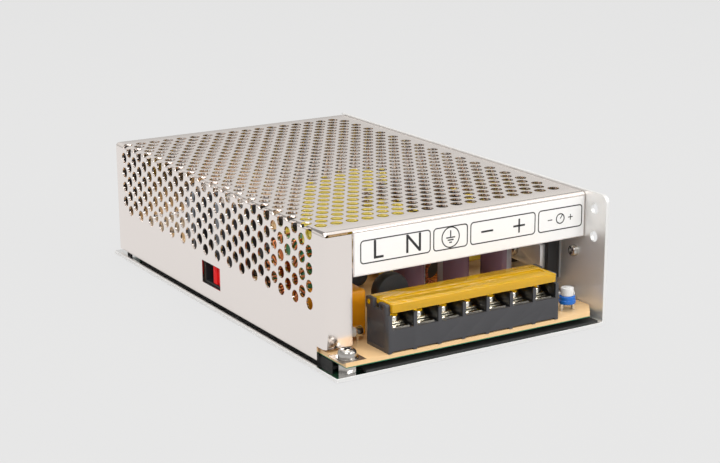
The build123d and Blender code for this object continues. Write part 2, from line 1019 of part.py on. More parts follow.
def input_choke_core():
    """Ring core of the input choke, with its axis along the case's width."""
    z = choke_height(input_choke_radius, input_choke_arc)
    turn = Rot(0, 90, 0)
    return ring_core(input_choke_at, z, turn, input_choke_radius, input_choke_bore, input_choke_width)


def input_choke_windings():
    """Two separate windings of the input choke, one each side of its bare top."""
    z = choke_height(input_choke_radius, input_choke_arc)
    return [
        ring_winding(
            input_choke_at,
            z,
            Rot(0, 90, 0),
            input_choke_radius,
            input_choke_bore,
            input_choke_width,
            middle,
            input_choke_arc,
        )
        for middle in (-90, 90)
    ]


def output_choke_core():
    """Ring core of the output choke, with its axis along the case's length."""
    z = choke_height(output_choke_radius, output_choke_arc)
    turn = Rot(90, 0, 0)
    return ring_core(output_choke_at, z, turn, output_choke_radius, output_choke_bore, output_choke_width)


def output_choke_winding():
    """Winding of the output choke, with its gap at the top."""
    return ring_winding(
        output_choke_at,
        choke_height(output_choke_radius, output_choke_arc),
        Rot(90, 0, 0),
        output_choke_radius,
        output_choke_bore,
        output_choke_width,
        -90,
        output_choke_arc,
    )


def output_capacitors():
    """Row of electrolytic capacitors behind the terminal block."""
    return [
        turned(
            wall_inner - output_cap_inset - index * output_cap_step,
            output_cap_line,
            board_top,
            output_cap_radius,
            output_cap_height,
            can_flat_count,
        )
        for index in range(output_cap_count)
    ]


def bulk_capacitors():
    """Large electrolytic capacitors near the left side."""
    x, y = bulk_cap_at
    return [
        turned(x, y + index * bulk_cap_step, board_top, bulk_cap_radius, bulk_cap_height, can_flat_count)
        for index in range(bulk_cap_count)
    ]


def wound_core(at, core, winding):
    """Core of a transformer as a frame round the window that its winding fills."""
    x, y = at
    body = seated(x, y, core)
    window = seated(x, y, (core[0], winding[1] + 2 * transformer_gap, winding[2] + 2 * transformer_gap))
    lift = (core[2] - winding[2]) / 2 - transformer_gap
    return body - Pos(0, 0, lift) * window


def wound_coil(at, core, winding):
    """Taped winding of a transformer, held in the window of its core."""
    x, y = at
    lift = (core[2] - winding[2]) / 2
    return Pos(0, 0, lift) * seated(x, y, winding)


def bridge_rectifier():
    """Flat bridge rectifier, standing across the case."""
    x, y = bridge_at
    return seated(x, y, bridge_size, board_top + bridge_lift)


def bridge_leads():
    """Four leads of the bridge rectifier."""
    x, y = bridge_at
    first = x - (bridge_lead_count - 1) / 2 * bridge_lead_step
    return [lead(first + index * bridge_lead_step, y, bridge_lift) for index in range(bridge_lead_count)]


def control_chip():
    """Control circuit in a flat moulded package."""
    return seated(chip_left, case_length - chip_inset, chip_size)


def resistors():
    """Row of resistors lying across the board."""
    last = case_length - resistor_inset
    return [
        Pos(resistor_left, last - index * resistor_step, board_top + resistor_radius)
        * Rot(0, 90, 0)
        * extrude(RegularPolygon(resistor_radius, turned_flat_count), resistor_length)
        for index in range(resistor_count)
    ]


def ceramic_capacitors():
    """Disc capacitors that stand on the board."""
    x = transformer_at[0] - ceramic_inset
    z = board_top + ceramic_radius
    pieces = []
    for index in range(ceramic_count):
        disc = extrude(RegularPolygon(ceramic_radius, turned_flat_count), ceramic_thickness)
        pieces.append(Pos(x, ceramic_line + index * ceramic_step, z) * Rot(90, 0, 0) * disc)
    return pieces


# Power devices on the right wall


def bar_middle():
    """Height of the clamp bars' screws."""
    return board_top + device_lift + device_size[2] / 2


def device_lines(line, step):
    """Places of the two devices of a clamp, one each side of its screw."""
    return (line - step / 2, line + step / 2)


def device_pads():
    """Insulating pads between the power devices and the wall."""
    half = device_size[1] / 2
    left = wall_inner - pad_thickness
    z = board_top + device_lift
    return [
        block(left, wall_inner, line - half, line + half, z, z + device_size[2]) for line in all_devices()
    ]


def all_devices():
    """Lines of every power device."""
    front = device_lines(front_device_line, front_device_step)
    rear = device_lines(rear_device_line, rear_device_step)
    return front + rear


def power_devices():
    """Moulded power devices, flat against their pads."""
    width, depth, height = device_size
    right = wall_inner - pad_thickness
    z = board_top + device_lift
    return [
        block(right - width, right, line - depth / 2, line + depth / 2, z, z + height)
        for line in all_devices()
    ]


def device_leads():
    """Leads of the power devices, straight down into the board."""
    x = wall_inner - pad_thickness - device_size[0] / 2
    return [
        lead(x, line + side * device_lead_step, device_lift) for line in all_devices() for side in (-1, 0, 1)
    ]


def clamp_bars():
    """Bar across each pair of power devices, bored for its screw."""
    right = wall_inner - pad_thickness - device_size[0]
    bars = []
    for line, step in ((front_device_line, front_device_step), (rear_device_line, rear_device_step)):
        half = (step + bar_overlap) / 2
        z = bar_middle() - bar_height / 2
        bar = block(right - bar_thickness, right, line - half, line + half, z, z + bar_height)
        bore = clamp_screw + 2 * thread_gap
        bars.append(bar - screwed(right - bar_thickness, line, bar_middle(), bore, bar_thickness))
    return bars


def clamp_screws():
    """Pan-head screws through the clamp bars into the wall."""
    face = wall_inner - pad_thickness - device_size[0] - bar_thickness
    screws = []
    for line in (front_device_line, rear_device_line):
        head_x = face - clamp_screw_head_height
        head = screwed(head_x, line, bar_middle(), clamp_screw_head, clamp_screw_head_height)
        screws.append(head + screwed(face, line, bar_middle(), clamp_screw, case_width - face))
    return screws


def wall_screw():
    """Screw in the right wall beside the terminal block."""
    head_x = wall_inner - clamp_screw_head_height
    head = screwed(head_x, wall_screw_line, wall_screw_height, wall_screw_head, clamp_screw_head_height)
    return head + screwed(wall_inner, wall_screw_line, wall_screw_height, clamp_screw, chassis_sheet)


def wire_link():
    """Bare wire link on the board beside the trimmer."""
    x = board_right - link_inset
    rear = link_line + link_length
    top = block(
        x - lead_size / 2,
        x + lead_size / 2,
        link_line,
        rear,
        board_top + link_height - lead_size,
        board_top + link_height,
    )
    front_leg = lead(x, link_line + lead_size / 2, link_height)
    return top + front_leg + lead(x, rear - lead_size / 2, link_height)


nodes = {
    "chassis": chassis(),
    "cover": cover(),
    "cover_screws": cover_screws(),
    "front_label": front_label(),
    "insulating_film": insulating_film(),
    "insulation_sheet": insulation_sheet(),
    "circuit_board": circuit_board(),
    "spacers": spacers(),
    "board_washers": board_washers(),
    "board_screws": board_screws(),
    "terminal_housing": terminal_housing(),
    "terminal_contacts": terminal_contacts(),
    "clamp_plates": clamp_plates(),
    "terminal_screws": terminal_screws(),
    "terminal_lid": terminal_lid(),
    "trimmer_legs": trimmer_legs(),
    "trimmer_body": trimmer_body(),
    "trimmer_rotor": trimmer_rotor(),
    "selector_body": selector_body(),
    "selector_slider": selector_slider(),
    "fuse_body": fuse_body(),
    "fuse_ends": fuse_ends(),
    "film_capacitor": film_capacitor(),
    "thermistor_disc": thermistor_disc(),
    "thermistor_leads": thermistor_leads(),
    "input_choke_core": input_choke_core(),
    "input_choke_windings": input_choke_windings(),
    "output_choke_core": output_choke_core(),
    "output_choke_winding": output_choke_winding(),
    "output_capacitors": output_capacitors(),
    "bulk_capacitors": bulk_capacitors(),
    "transformer_core": wound_core(transformer_at, transformer_core, transformer_winding),
    "transformer_winding": wound_coil(transformer_at, transformer_core, transformer_winding),
    "drive_transformer_core": wound_core(
        drive_transformer_at, drive_transformer_core, drive_transformer_winding
    ),
    "drive_transformer_winding": wound_coil(
        drive_transformer_at, drive_transformer_core, drive_transformer_winding
    ),
    "bridge_rectifier": bridge_rectifier(),
    "bridge_leads": bridge_leads(),
    "control_chip": control_chip(),
    "resistors": resistors(),
    "ceramic_capacitors": ceramic_capacitors(),
    "device_pads": device_pads(),
    "power_devices": power_devices(),
    "device_leads": device_leads(),
    "clamp_bars": clamp_bars(),
    "clamp_screws": clamp_screws(),
    "wall_screw": wall_screw(),
    "wire_link": wire_link(),
}

os.makedirs("parts", exist_ok=True)
to_base_middle = Pos(-case_width / 2, -case_length / 2, 0)
for name, shape in nodes.items():
    pieces = shape if isinstance(shape, list) else [shape]
    solids = [to_base_middle * solid for piece in pieces for solid in piece.solids()]
    export_step(Compound(children=solids), f"parts/{name}.step")
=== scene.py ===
"""Dressed model of an enclosed power supply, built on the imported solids."""
import logging
import math
from collections.abc import Callable
from dataclasses import dataclass
from enum import Enum

import bmesh
import bpy
from bmesh.types import BMEdge, BMesh, BMVert
from mathutils import Matrix, Vector


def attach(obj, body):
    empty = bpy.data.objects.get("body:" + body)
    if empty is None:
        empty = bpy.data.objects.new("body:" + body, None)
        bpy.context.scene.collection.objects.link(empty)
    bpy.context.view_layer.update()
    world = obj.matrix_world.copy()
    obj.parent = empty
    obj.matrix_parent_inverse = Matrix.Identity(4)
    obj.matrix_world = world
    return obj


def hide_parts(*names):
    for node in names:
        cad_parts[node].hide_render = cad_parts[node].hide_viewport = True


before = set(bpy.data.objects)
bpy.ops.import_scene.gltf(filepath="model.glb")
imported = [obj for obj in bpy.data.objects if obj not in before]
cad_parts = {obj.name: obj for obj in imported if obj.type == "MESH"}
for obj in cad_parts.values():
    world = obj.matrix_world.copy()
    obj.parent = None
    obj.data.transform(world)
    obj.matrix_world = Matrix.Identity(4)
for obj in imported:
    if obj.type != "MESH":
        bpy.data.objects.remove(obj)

LOG = logging.getLogger("power_supply")
CASE = "case"
FULL_TURN = 2 * math.pi
WELD = 1e-7
Pair = tuple[float, float]
Triple = tuple[float, float, float]
Colour = Triple


class Recess(Enum):
    """Driver recess of a screw head."""

    CROSS = "cross"
    SLOT = "slot"


# Shader graphs and finishes


@dataclass
class Graph:
    """Shader node tree that takes nodes with their settings, values and links."""

    tree: bpy.types.NodeTree

    def feed(self, item: bpy.types.Node, inputs: dict) -> None:
        """Sets a node's inputs to values, or links them where a socket is given.

        Args:
            item: The node.
            inputs: Values and sockets, by the input's name or number.
        """
        for name, value in inputs.items():
            if isinstance(value, bpy.types.NodeSocket):
                self.tree.links.new(value, item.inputs[name])
            else:
                item.inputs[name].default_value = value

    def add(self, kind: str, inputs: dict | None = None, **settings: object) -> bpy.types.Node:
        """Adds a node.

        Args:
            kind: Its type, without the prefix that all shader nodes share.
            inputs: Values and links of its inputs, by name or number.
            settings: Its own properties.

        Returns:
            The node.
        """
        item = self.tree.nodes.new(f"ShaderNode{kind}")
        for name, value in settings.items():
            setattr(item, name, value)
        self.feed(item, inputs or {})
        return item


def grain_group() -> bpy.types.ShaderNodeTree:
    """Builds the group that clouds a colour and a roughness and gives a fine height.

    Returns:
        The group's tree, with outputs Colour, Roughness and Height.
    """
    tree = bpy.data.node_groups.new("surface_grain", "ShaderNodeTree")
    grey = (0.5, 0.5, 0.5, 1.0)
    for name, kind, value in (
            ("Vector", "Vector", None), ("Colour", "Color", grey), ("Second colour", "Color", grey),
            ("Cloud scale", "Float", 60.0), ("Grain scale", "Float", 2500.0),
            ("Stretch", "Vector", (1.0, 1.0, 1.0)), ("Roughness", "Float", 0.4), ("Spread", "Float", 0.1)):
        socket = tree.interface.new_socket(name=name, in_out="INPUT", socket_type=f"NodeSocket{kind}")
        if value is not None:
            socket.default_value = value
    for name, kind in (("Colour", "Color"), ("Roughness", "Float"), ("Height", "Float")):
        tree.interface.new_socket(name=name, in_out="OUTPUT", socket_type=f"NodeSocket{kind}")
    graph = Graph(tree)
    given = tree.nodes.new("NodeGroupInput").outputs
    stretch = graph.add("VectorMath", {0: given["Vector"], 1: given["Stretch"]}, operation="MULTIPLY")
    cloud = graph.add("TexNoise", {"Vector": given["Vector"], "Scale": given["Cloud scale"], "Detail": 3.0})
    fine = graph.add("TexNoise", {"Vector": stretch.outputs[0], "Scale": given["Grain scale"], "Detail": 4.0})
    tint = graph.add("Mix", {"Factor": cloud.outputs["Fac"], "A": given["Colour"],
                             "B": given["Second colour"]}, data_type="RGBA")
    centre = graph.add("Math", {0: fine.outputs["Fac"], 1: 0.5}, operation="SUBTRACT")
    swing = graph.add("Math", {0: centre.outputs[0], 1: given["Spread"], 2: given["Roughness"]},
                      operation="MULTIPLY_ADD")
    graph.feed(tree.nodes.new("NodeGroupOutput"), {
        "Colour": tint.outputs["Result"], "Roughness": swing.outputs[0], "Height": fine.outputs["Fac"]})
    return tree


GRAIN = grain_group()


@dataclass(frozen=True)
class Finish:
    """Finish of a surface, with a clouded colour, a varied roughness and a fine bump."""

    name: str
    colour: Colour
    second: Colour
    roughness: float
    metallic: float = 0.0
    spread: float = 0.08
    cloud_scale: float = 60.0
    grain_scale: float = 2500.0
    stretch: Triple = (1.0, 1.0, 1.0)
    bump: float = 0.1
    bump_depth: float = 0.00002
    coat: float = 0.0
    coat_roughness: float = 0.1
    transmission: float = 0.0
    ior: float = 1.5
    specular: float = 0.5

    def build(self) -> bpy.types.Material:
        """Makes the material once and then gives it again.

        Returns:
            The material.
        """
        known = bpy.data.materials.get(self.name)
        if known:
            return known
        material = bpy.data.materials.new(self.name)
        material.use_nodes = True
        graph = Graph(material.node_tree)
        shader = graph.tree.nodes["Principled BSDF"]
        grain = graph.add("Group", {
            "Vector": graph.add("TexCoord").outputs["Object"], "Colour": (*self.colour, 1.0),
            "Second colour": (*self.second, 1.0), "Cloud scale": self.cloud_scale,
            "Grain scale": self.grain_scale, "Stretch": self.stretch, "Roughness": self.roughness,
            "Spread": self.spread}, node_tree=GRAIN)
        relief = graph.add("Bump", {
            "Strength": self.bump, "Distance": self.bump_depth, "Height": grain.outputs["Height"]})
        graph.feed(shader, {
            "Base Color": grain.outputs["Colour"], "Roughness": grain.outputs["Roughness"],
            "Normal": relief.outputs["Normal"], "Metallic": self.metallic, "Coat Weight": self.coat,
            "Coat Roughness": self.coat_roughness, "Transmission Weight": self.transmission,
            "IOR": self.ior, "Specular IOR Level": self.specular})
        self.refine(graph, grain, shader)
        return material

    def refine(self, graph: Graph, grain: bpy.types.Node, shader: bpy.types.Node) -> None:
        """Adds what a special finish needs; a plain finish needs nothing."""


@dataclass(frozen=True)
class BoardFinish(Finish):
    """Laminate whose lowest layer is green solder mask."""

    mask: Colour = (0.02, 0.20, 0.10)
    mask_top: float = 0.00405

    def refine(self, graph: Graph, grain: bpy.types.Node, shader: bpy.types.Node) -> None:
        """Colours the underside green by its height.

        Args:
            graph: The material's graph.
            grain: Its grain group node.
            shader: Its surface shader.
        """
        split = graph.add("SeparateXYZ", {0: graph.add("TexCoord").outputs["Object"]})
        below = graph.add("Math", {0: split.outputs["Z"], 1: self.mask_top}, operation="LESS_THAN")
        mix = graph.add("Mix", {"Factor": below.outputs[0], "A": grain.outputs["Colour"],
                                "B": (*self.mask, 1.0)}, data_type="RGBA")
        graph.feed(shader, {"Base Color": mix.outputs["Result"]})


BARE_SHEET = Finish("brushed_aluminium", (0.92, 0.92, 0.92), (0.89, 0.89, 0.88), 0.42, 0.75, 0.06,
                    45.0, 900.0, (1.0, 0.03, 1.0), 0.03)
BASE_SHEET = Finish("smooth_aluminium", (0.90, 0.91, 0.92), (0.87, 0.88, 0.89), 0.14, 1.0, 0.04,
                    45.0, 900.0, (1.0, 0.03, 1.0), 0.02)
# Near-white copy of the aluminium for the base's edge faces: a sheared edge's duller finish together with a
# painted highlight for the lit edge.
EDGE_SHEET_HIGHLIT = Finish("sheared_edge_painted_highlight", (0.97, 0.97, 0.97), (0.95, 0.95, 0.95), 0.30, 0.10, 0.04,
                    45.0, 900.0, (1.0, 0.03, 1.0), 0.02)
SATIN_SHEET = Finish("satin_sheet", (0.940, 0.872, 0.832), (0.925, 0.857, 0.817), 0.16, 1.0, 0.02,
                     25.0, 1400.0, (1.0, 0.25, 1.0), 0.01)
STEEL = Finish("plated_steel", (0.56, 0.54, 0.51), (0.46, 0.44, 0.42), 0.20, 1.0, 0.12, 300.0)
NICKEL = Finish("nickel_plate", (0.88, 0.85, 0.76), (0.78, 0.75, 0.66), 0.16, 1.0, 0.10, 400.0)
TINNED = Finish("tinned_wire", (0.75, 0.75, 0.74), (0.62, 0.62, 0.62), 0.28, 1.0, 0.12, 500.0)
LABEL = Finish("white_label", (0.93, 0.93, 0.93), (0.92, 0.92, 0.92), 0.38, 0.0, 0.03, 40.0, bump=0.02)
INK = Finish("black_ink", (0.012, 0.012, 0.014), (0.02, 0.02, 0.022), 0.45)
CLEAR_FILM = Finish("yellow_film", (0.66, 0.54, 0.012), (0.60, 0.48, 0.010), 0.25, 0.0, 0.05, 80.0,
                    transmission=0.15)
BLACK_SHEET = Finish("black_sheet", (0.018, 0.020, 0.022), (0.03, 0.032, 0.034), 0.42, 0.0, 0.2)
LAMINATE = BoardFinish("board_laminate", (0.90, 0.62, 0.33), (0.84, 0.56, 0.28), 0.42, 0.0, 0.1, 180.0)
CHARCOAL = Finish("charcoal_moulding", (0.045, 0.045, 0.050), (0.055, 0.055, 0.062), 0.40, 0.0, 0.12,
                  90.0, 3500.0, bump=0.25)
# The charcoal moulding darkened as painted shade for the inside of the terminal wells.
PAINTED_WELL_SHADE = Finish("painted_well_shade", (0.010, 0.010, 0.011), (0.014, 0.014, 0.015), 0.30)
AMBER = Finish("amber_clear", (1.0, 0.64, 0.012), (1.0, 0.62, 0.010), 0.04, 0.0, 0.01, 60.0,
               bump=0.0, transmission=0.55, ior=1.45, specular=0.8)
BLUE = Finish("blue_moulding", (0.01, 0.16, 0.62), (0.01, 0.13, 0.52), 0.30)
WHITE = Finish("white_moulding", (0.80, 0.80, 0.79), (0.74, 0.74, 0.73), 0.38)
RED = Finish("red_moulding", (0.98, 0.015, 0.018), (0.92, 0.012, 0.015), 0.50, specular=0.15)
BLACK = Finish("black_moulding", (0.02, 0.02, 0.022), (0.03, 0.03, 0.032), 0.42)
CERAMIC = Finish("glazed_ceramic", (0.78, 0.78, 0.76), (0.70, 0.70, 0.68), 0.25, coat=0.4)
ORANGE_BOX = Finish("orange_resin", (1.0, 0.42, 0.015), (0.95, 0.38, 0.012), 0.22, coat=0.2)
GREY_DISC = Finish("grey_coated_disc", (0.026, 0.027, 0.029), (0.034, 0.035, 0.037), 0.50, bump=0.3)
GREEN_CORE = Finish("green_ferrite", (0.05, 0.34, 0.13), (0.04, 0.27, 0.10), 0.34, coat=0.3)
COPPER = Finish("enamelled_copper", (0.90, 0.34, 0.12), (0.78, 0.25, 0.08), 0.22, 0.8, 0.1, 300.0, coat=0.6)
BLACK_SLEEVE = Finish("black_sleeve", (0.015, 0.016, 0.020), (0.02, 0.02, 0.026), 0.25, coat=0.3)
PALE_STRIPE = Finish("pale_stripe", (0.36, 0.40, 0.46), (0.32, 0.36, 0.42), 0.28, coat=0.3)
BROWN_SLEEVE = Finish("brown_sleeve", (0.020, 0.007, 0.010), (0.016, 0.005, 0.008), 0.34, specular=0.25)
GREY_STRIPE = Finish("grey_stripe", (0.36, 0.35, 0.38), (0.30, 0.29, 0.32), 0.30, coat=0.3)
CAN_TOP = Finish("can_aluminium", (0.78, 0.78, 0.78), (0.70, 0.70, 0.70), 0.30, 1.0, 0.12, 200.0)
FERRITE = Finish("black_ferrite", (0.03, 0.03, 0.032), (0.045, 0.045, 0.047), 0.48, bump=0.3)
TAPE = Finish("yellow_tape", (0.98, 0.76, 0.05), (0.92, 0.68, 0.03), 0.30, coat=0.3)
MOULDED = Finish("moulded_package", (0.025, 0.025, 0.027), (0.035, 0.035, 0.038), 0.50, bump=0.3)
GREY_PAD = Finish("silicone_pad", (0.40, 0.41, 0.43), (0.34, 0.35, 0.37), 0.6)
RESISTOR_COAT = Finish("resistor_lacquer", (0.55, 0.42, 0.24), (0.48, 0.36, 0.20), 0.35, coat=0.3)
PAD_TIN = Finish("tinned_pad", (0.30, 0.25, 0.20), (0.22, 0.18, 0.15), 0.35, 0.8, 0.1, 300.0)
BLUE_DISC = Finish("blue_resin", (0.03, 0.06, 0.12), (0.02, 0.05, 0.10), 0.34, coat=0.3)


# Meshes that several assemblies use


def at(x: float, y: float, z: float) -> Matrix:
    """Returns a move to a place."""
    return Matrix.Translation((x, y, z))


def turn(degrees: float, axis: str) -> Matrix:
    """Returns a turn about an axis."""
    return Matrix.Rotation(math.radians(degrees), 4, axis)


def new_edges(geom: list) -> list[BMEdge]:
    """Returns the edges of an operator's result."""
    return [item for item in geom if isinstance(item, BMEdge)]


def new_verts(geom: list) -> list[BMVert]:
    """Returns the corners of an operator's result."""
    return [item for item in geom if isinstance(item, BMVert)]


def outline(bm: BMesh, points: list, closed: bool = True) -> tuple[list[BMVert], list[BMEdge]]:
    """Draws a line of edges through points.

    Args:
        bm: The mesh that takes them.
        points: Places of the corners, in order.
        closed: Whether the last point joins the first.

    Returns:
        The new corners and the new edges.
    """
    verts = [bm.verts.new(point) for point in points]
    following = verts[1:] + verts[:1] if closed else verts[1:]
    return verts, [bm.edges.new(pair) for pair in zip(verts, following)]


def shift(bm: BMesh, verts: list[BMVert], x: float, y: float, z: float) -> None:
    """Moves corners of a mesh."""
    bmesh.ops.translate(bm, vec=(x, y, z), verts=verts)


def thicken(bm: BMesh, faces: list, depth: float) -> BMesh:
    """Raises flat faces into a solid.

    Args:
        bm: The mesh.
        faces: Its faces to raise.
        depth: How far they rise.

    Returns:
        The same mesh.
    """
    raised = bmesh.ops.extrude_face_region(bm, geom=faces)
    shift(bm, new_verts(raised["geom"]), 0, 0, depth)
    return bm


def corner_box(low: Vector, high: Vector) -> BMesh:
    """Makes a plain block between two corners.

    Args:
        low: Its lowest corner.
        high: Its highest corner.

    Returns:
        The block.
    """
    bm = bmesh.new()
    bmesh.ops.create_cube(bm, size=1.0)
    bmesh.ops.scale(bm, vec=high - low, verts=bm.verts)
    bmesh.ops.translate(bm, vec=(low + high) / 2, verts=bm.verts)
    return bm


def lathe(profile: list[Pair], steps: int = 32, ring: bool = False) -> BMesh:
    """Turns a profile about the upright axis.

    Args:
        profile: Radius and height of each point.
        steps: Steps of the full turn.
        ring: Whether the profile closes on itself, clear of the axis.

    Returns:
        The turned mesh.
    """
    bm = bmesh.new()
    points, edges = outline(bm, [(radius, 0.0, height) for radius, height in profile], ring)
    bmesh.ops.spin(bm, geom=points + edges, cent=(0, 0, 0), axis=(0, 0, 1), angle=FULL_TURN,
                   steps=steps, use_merge=True, use_duplicate=False)
    bmesh.ops.remove_doubles(bm, verts=bm.verts, dist=WELD)
    bmesh.ops.recalc_face_normals(bm, faces=bm.faces)
    return bm


def moved(bm: BMesh, matrix: Matrix) -> BMesh:
    """Moves a whole mesh by a matrix and returns it."""
    bmesh.ops.transform(bm, matrix=matrix, verts=bm.verts)
    return bm


def add_mesh(bm: BMesh, part: BMesh) -> None:
    """Adds a mesh to another.

    Args:
        bm: The mesh that grows.
        part: The mesh that is added, and freed.
    """
    scrap = bpy.data.meshes.new("scrap")
    part.to_mesh(scrap)
    part.free()
    bm.from_mesh(scrap)
    bpy.data.meshes.remove(scrap)


def joined(parts: list[BMesh]) -> BMesh:
    """Joins meshes into one, keeping their material numbers.

    Args:
        parts: The meshes, which are freed.

    Returns:
        The whole.
    """
    whole = bmesh.new()
    for part in parts:
        add_mesh(whole, part)
    return whole


def repeated(bm: BMesh, places: list[Matrix]) -> BMesh:
    """Puts a copy of a mesh at each place and drops the original.

    Args:
        bm: The mesh, which is changed.
        places: Moves and turns of the copies.

    Returns:
        The mesh, with the copies alone.
    """
    first = [*bm.verts, *bm.edges, *bm.faces]
    for place in places:
        copy = bmesh.ops.duplicate(bm, geom=first)["geom"]
        bmesh.ops.transform(bm, matrix=place, verts=new_verts(copy))
    bmesh.ops.delete(bm, geom=new_verts(first), context="VERTS")
    return bm


def wire_loop(inner: float, outer: float, half: float, wire: float, corner: float) -> BMesh:
    """Makes one turn of wire as a closed loop with rounded corners.

    Args:
        inner: Least distance of the wire's middle from the upright axis.
        outer: Largest distance of the wire's middle from the upright axis.
        half: Half of the loop's height.
        wire: Radius of the wire.
        corner: Radius of its bends.

    Returns:
        The loop, in the plane y = 0.
    """
    bm = bmesh.new()
    ring = bmesh.ops.create_circle(bm, cap_ends=False, radius=wire, segments=8)
    shift(bm, ring["verts"], outer, 0, corner - half)
    edges = list(bm.edges)
    up = Vector((0, 0, 2 * (half - corner)))
    across = Vector((2 * corner - (outer - inner), 0, 0))
    centre = Vector((outer - corner, 0, half - corner))
    runs = ((up, centre), (across, centre + across), (-up, centre + across - up), (-across, centre - up))
    for run, middle in runs:
        grown = bmesh.ops.extrude_edge_only(bm, edges=edges)["geom"]
        bmesh.ops.translate(bm, vec=run, verts=new_verts(grown))
        turned = bmesh.ops.spin(bm, geom=new_verts(grown) + new_edges(grown), cent=middle, axis=(0, -1, 0),
                                angle=math.pi / 2, steps=3, use_merge=False, use_duplicate=False)
        edges = new_edges(turned["geom_last"])
    bmesh.ops.remove_doubles(bm, verts=bm.verts, dist=wire / 20)
    return bm


def bent_wire(points: list[Vector], radius: float, bend: float) -> BMesh:
    """Makes a round wire along straight runs with rounded bends.

    Args:
        points: Ends and corners of the wire's middle line.
        radius: Radius of the wire.
        bend: Radius of its bends.

    Returns:
        The wire, closed at both ends.
    """
    bm = bmesh.new()
    ring = bmesh.ops.create_circle(bm, cap_ends=True, radius=radius, segments=10)
    aim = (points[1] - points[0]).normalized().to_track_quat("Z", "Y").to_matrix().to_4x4()
    bmesh.ops.transform(bm, matrix=Matrix.Translation(points[0]) @ aim, verts=ring["verts"])
    edges = list(bm.edges)
    for index, corner in enumerate(points[1:], start=1):
        before = (corner - points[index - 1]).normalized()
        last = index == len(points) - 1
        start = points[index - 1] + (before * bend if index > 1 else Vector())
        stop = corner - (Vector() if last else before * bend)
        grown = bmesh.ops.extrude_edge_only(bm, edges=edges)["geom"]
        bmesh.ops.translate(bm, vec=stop - start, verts=new_verts(grown))
        edges = new_edges(grown)
        if last:
            break
        after = (points[index + 1] - corner).normalized()
        turned = bmesh.ops.spin(bm, geom=new_verts(grown) + edges, cent=stop + after * bend,
                                axis=before.cross(after), angle=before.angle(after), steps=4,
                                use_merge=False, use_duplicate=False)
        edges = new_edges(turned["geom_last"])
    bmesh.ops.edgeloop_fill(bm, edges=edges)
    bmesh.ops.recalc_face_normals(bm, faces=bm.faces)
    return bm


def lettering(text: str, size: float) -> BMesh:
    """Makes flat lettering about the origin, facing up.

    Args:
        text: The letters.
        size: Their height.

    Returns:
        The flat faces of the letters.
    """
    curve = bpy.data.curves.new("type", "FONT")
    curve.body, curve.size, curve.resolution_u = text, size, 3
    curve.align_x = curve.align_y = "CENTER"
    holder = bpy.data.objects.new("type", curve)
    mesh = bpy.data.meshes.new_from_object(holder)
    bm = bmesh.new()
    bm.from_mesh(mesh)
    bmesh.ops.remove_doubles(bm, verts=bm.verts, dist=WELD)
    bpy.data.objects.remove(holder)
    bpy.data.curves.remove(curve)
    bpy.data.meshes.remove(mesh)
    return bm


# Pieces


def cad_copy(node: str, edge: float, segments: int = 2, sharp: float = 30.0) -> BMesh:
    """Copies a CAD node's mesh, merges it and rounds its sharp edges.

    Args:
        node: Name of the node.
        edge: Width of the rounding.
        segments: Steps of the rounding.
        sharp: Smallest angle, in degrees, of an edge that is rounded.

    Returns:
        The rounded copy.
    """
    bm = bmesh.new()
    bm.from_mesh(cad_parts[node].data)
    bmesh.ops.remove_doubles(bm, verts=bm.verts, dist=WELD)
    bmesh.ops.dissolve_limit(bm, angle_limit=math.radians(1.0), verts=bm.verts, edges=bm.edges,
                             use_dissolve_boundaries=False)
    edges = [e for e in bm.edges if e.is_manifold and e.calc_face_angle(0.0) > math.radians(sharp)]
    bmesh.ops.bevel(bm, geom=edges, offset=edge, offset_type="OFFSET", affect="EDGES",
                    segments=segments, profile=0.5, material=-1, clamp_overlap=True)
    return bm


def finish_piece(name: str, bm: BMesh, finishes: list[Finish], slot: str, *stands_for: str,
                 body: str = CASE, smooth: float = 32.0) -> None:
    """Turns a mesh into a finished piece that rides on a body.

    Args:
        name: Name of the piece.
        bm: Its mesh, which is freed.
        finishes: Finishes in the order of the faces' material numbers.
        slot: Name of a material slot; not used.
        stands_for: CAD nodes that it replaces.
        body: The body that it rides on.
        smooth: Angle in degrees above which an edge stays sharp.
    """
    bmesh.ops.recalc_face_normals(bm, faces=bm.faces)
    for face in bm.faces:
        face.smooth = True
    for edge in bm.edges:
        edge.smooth = edge.is_manifold and edge.calc_face_angle(0.0) < math.radians(smooth)
    mesh = bpy.data.meshes.new(name)
    bm.to_mesh(mesh)
    bm.free()
    piece = bpy.data.objects.new(name, mesh)
    bpy.context.scene.collection.objects.link(piece)
    for item in finishes:
        mesh.materials.append(item.build())
    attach(piece, body)
    if stands_for:
        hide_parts(*stands_for)
    LOG.info("%s: %d faces", name, len(mesh.polygons))


def cad_piece(name: str, node: str, edge: float, finish: Finish, slot: str, segments: int = 2,
              sharp: float = 30.0, body: str = CASE) -> None:
    """Makes a piece of a CAD node's own form, with its sharp edges rounded."""
    finish_piece(name, cad_copy(node, edge, segments, sharp), [finish], slot, node, body=body)


def dress(node: str, finish: Finish) -> None:
    """Gives a CAD node that stays a finish of its own.

    Args:
        node: Name of the node.
        finish: Its finish.
    """
    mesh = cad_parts[node].data
    mesh.materials.clear()
    mesh.materials.append(finish.build())


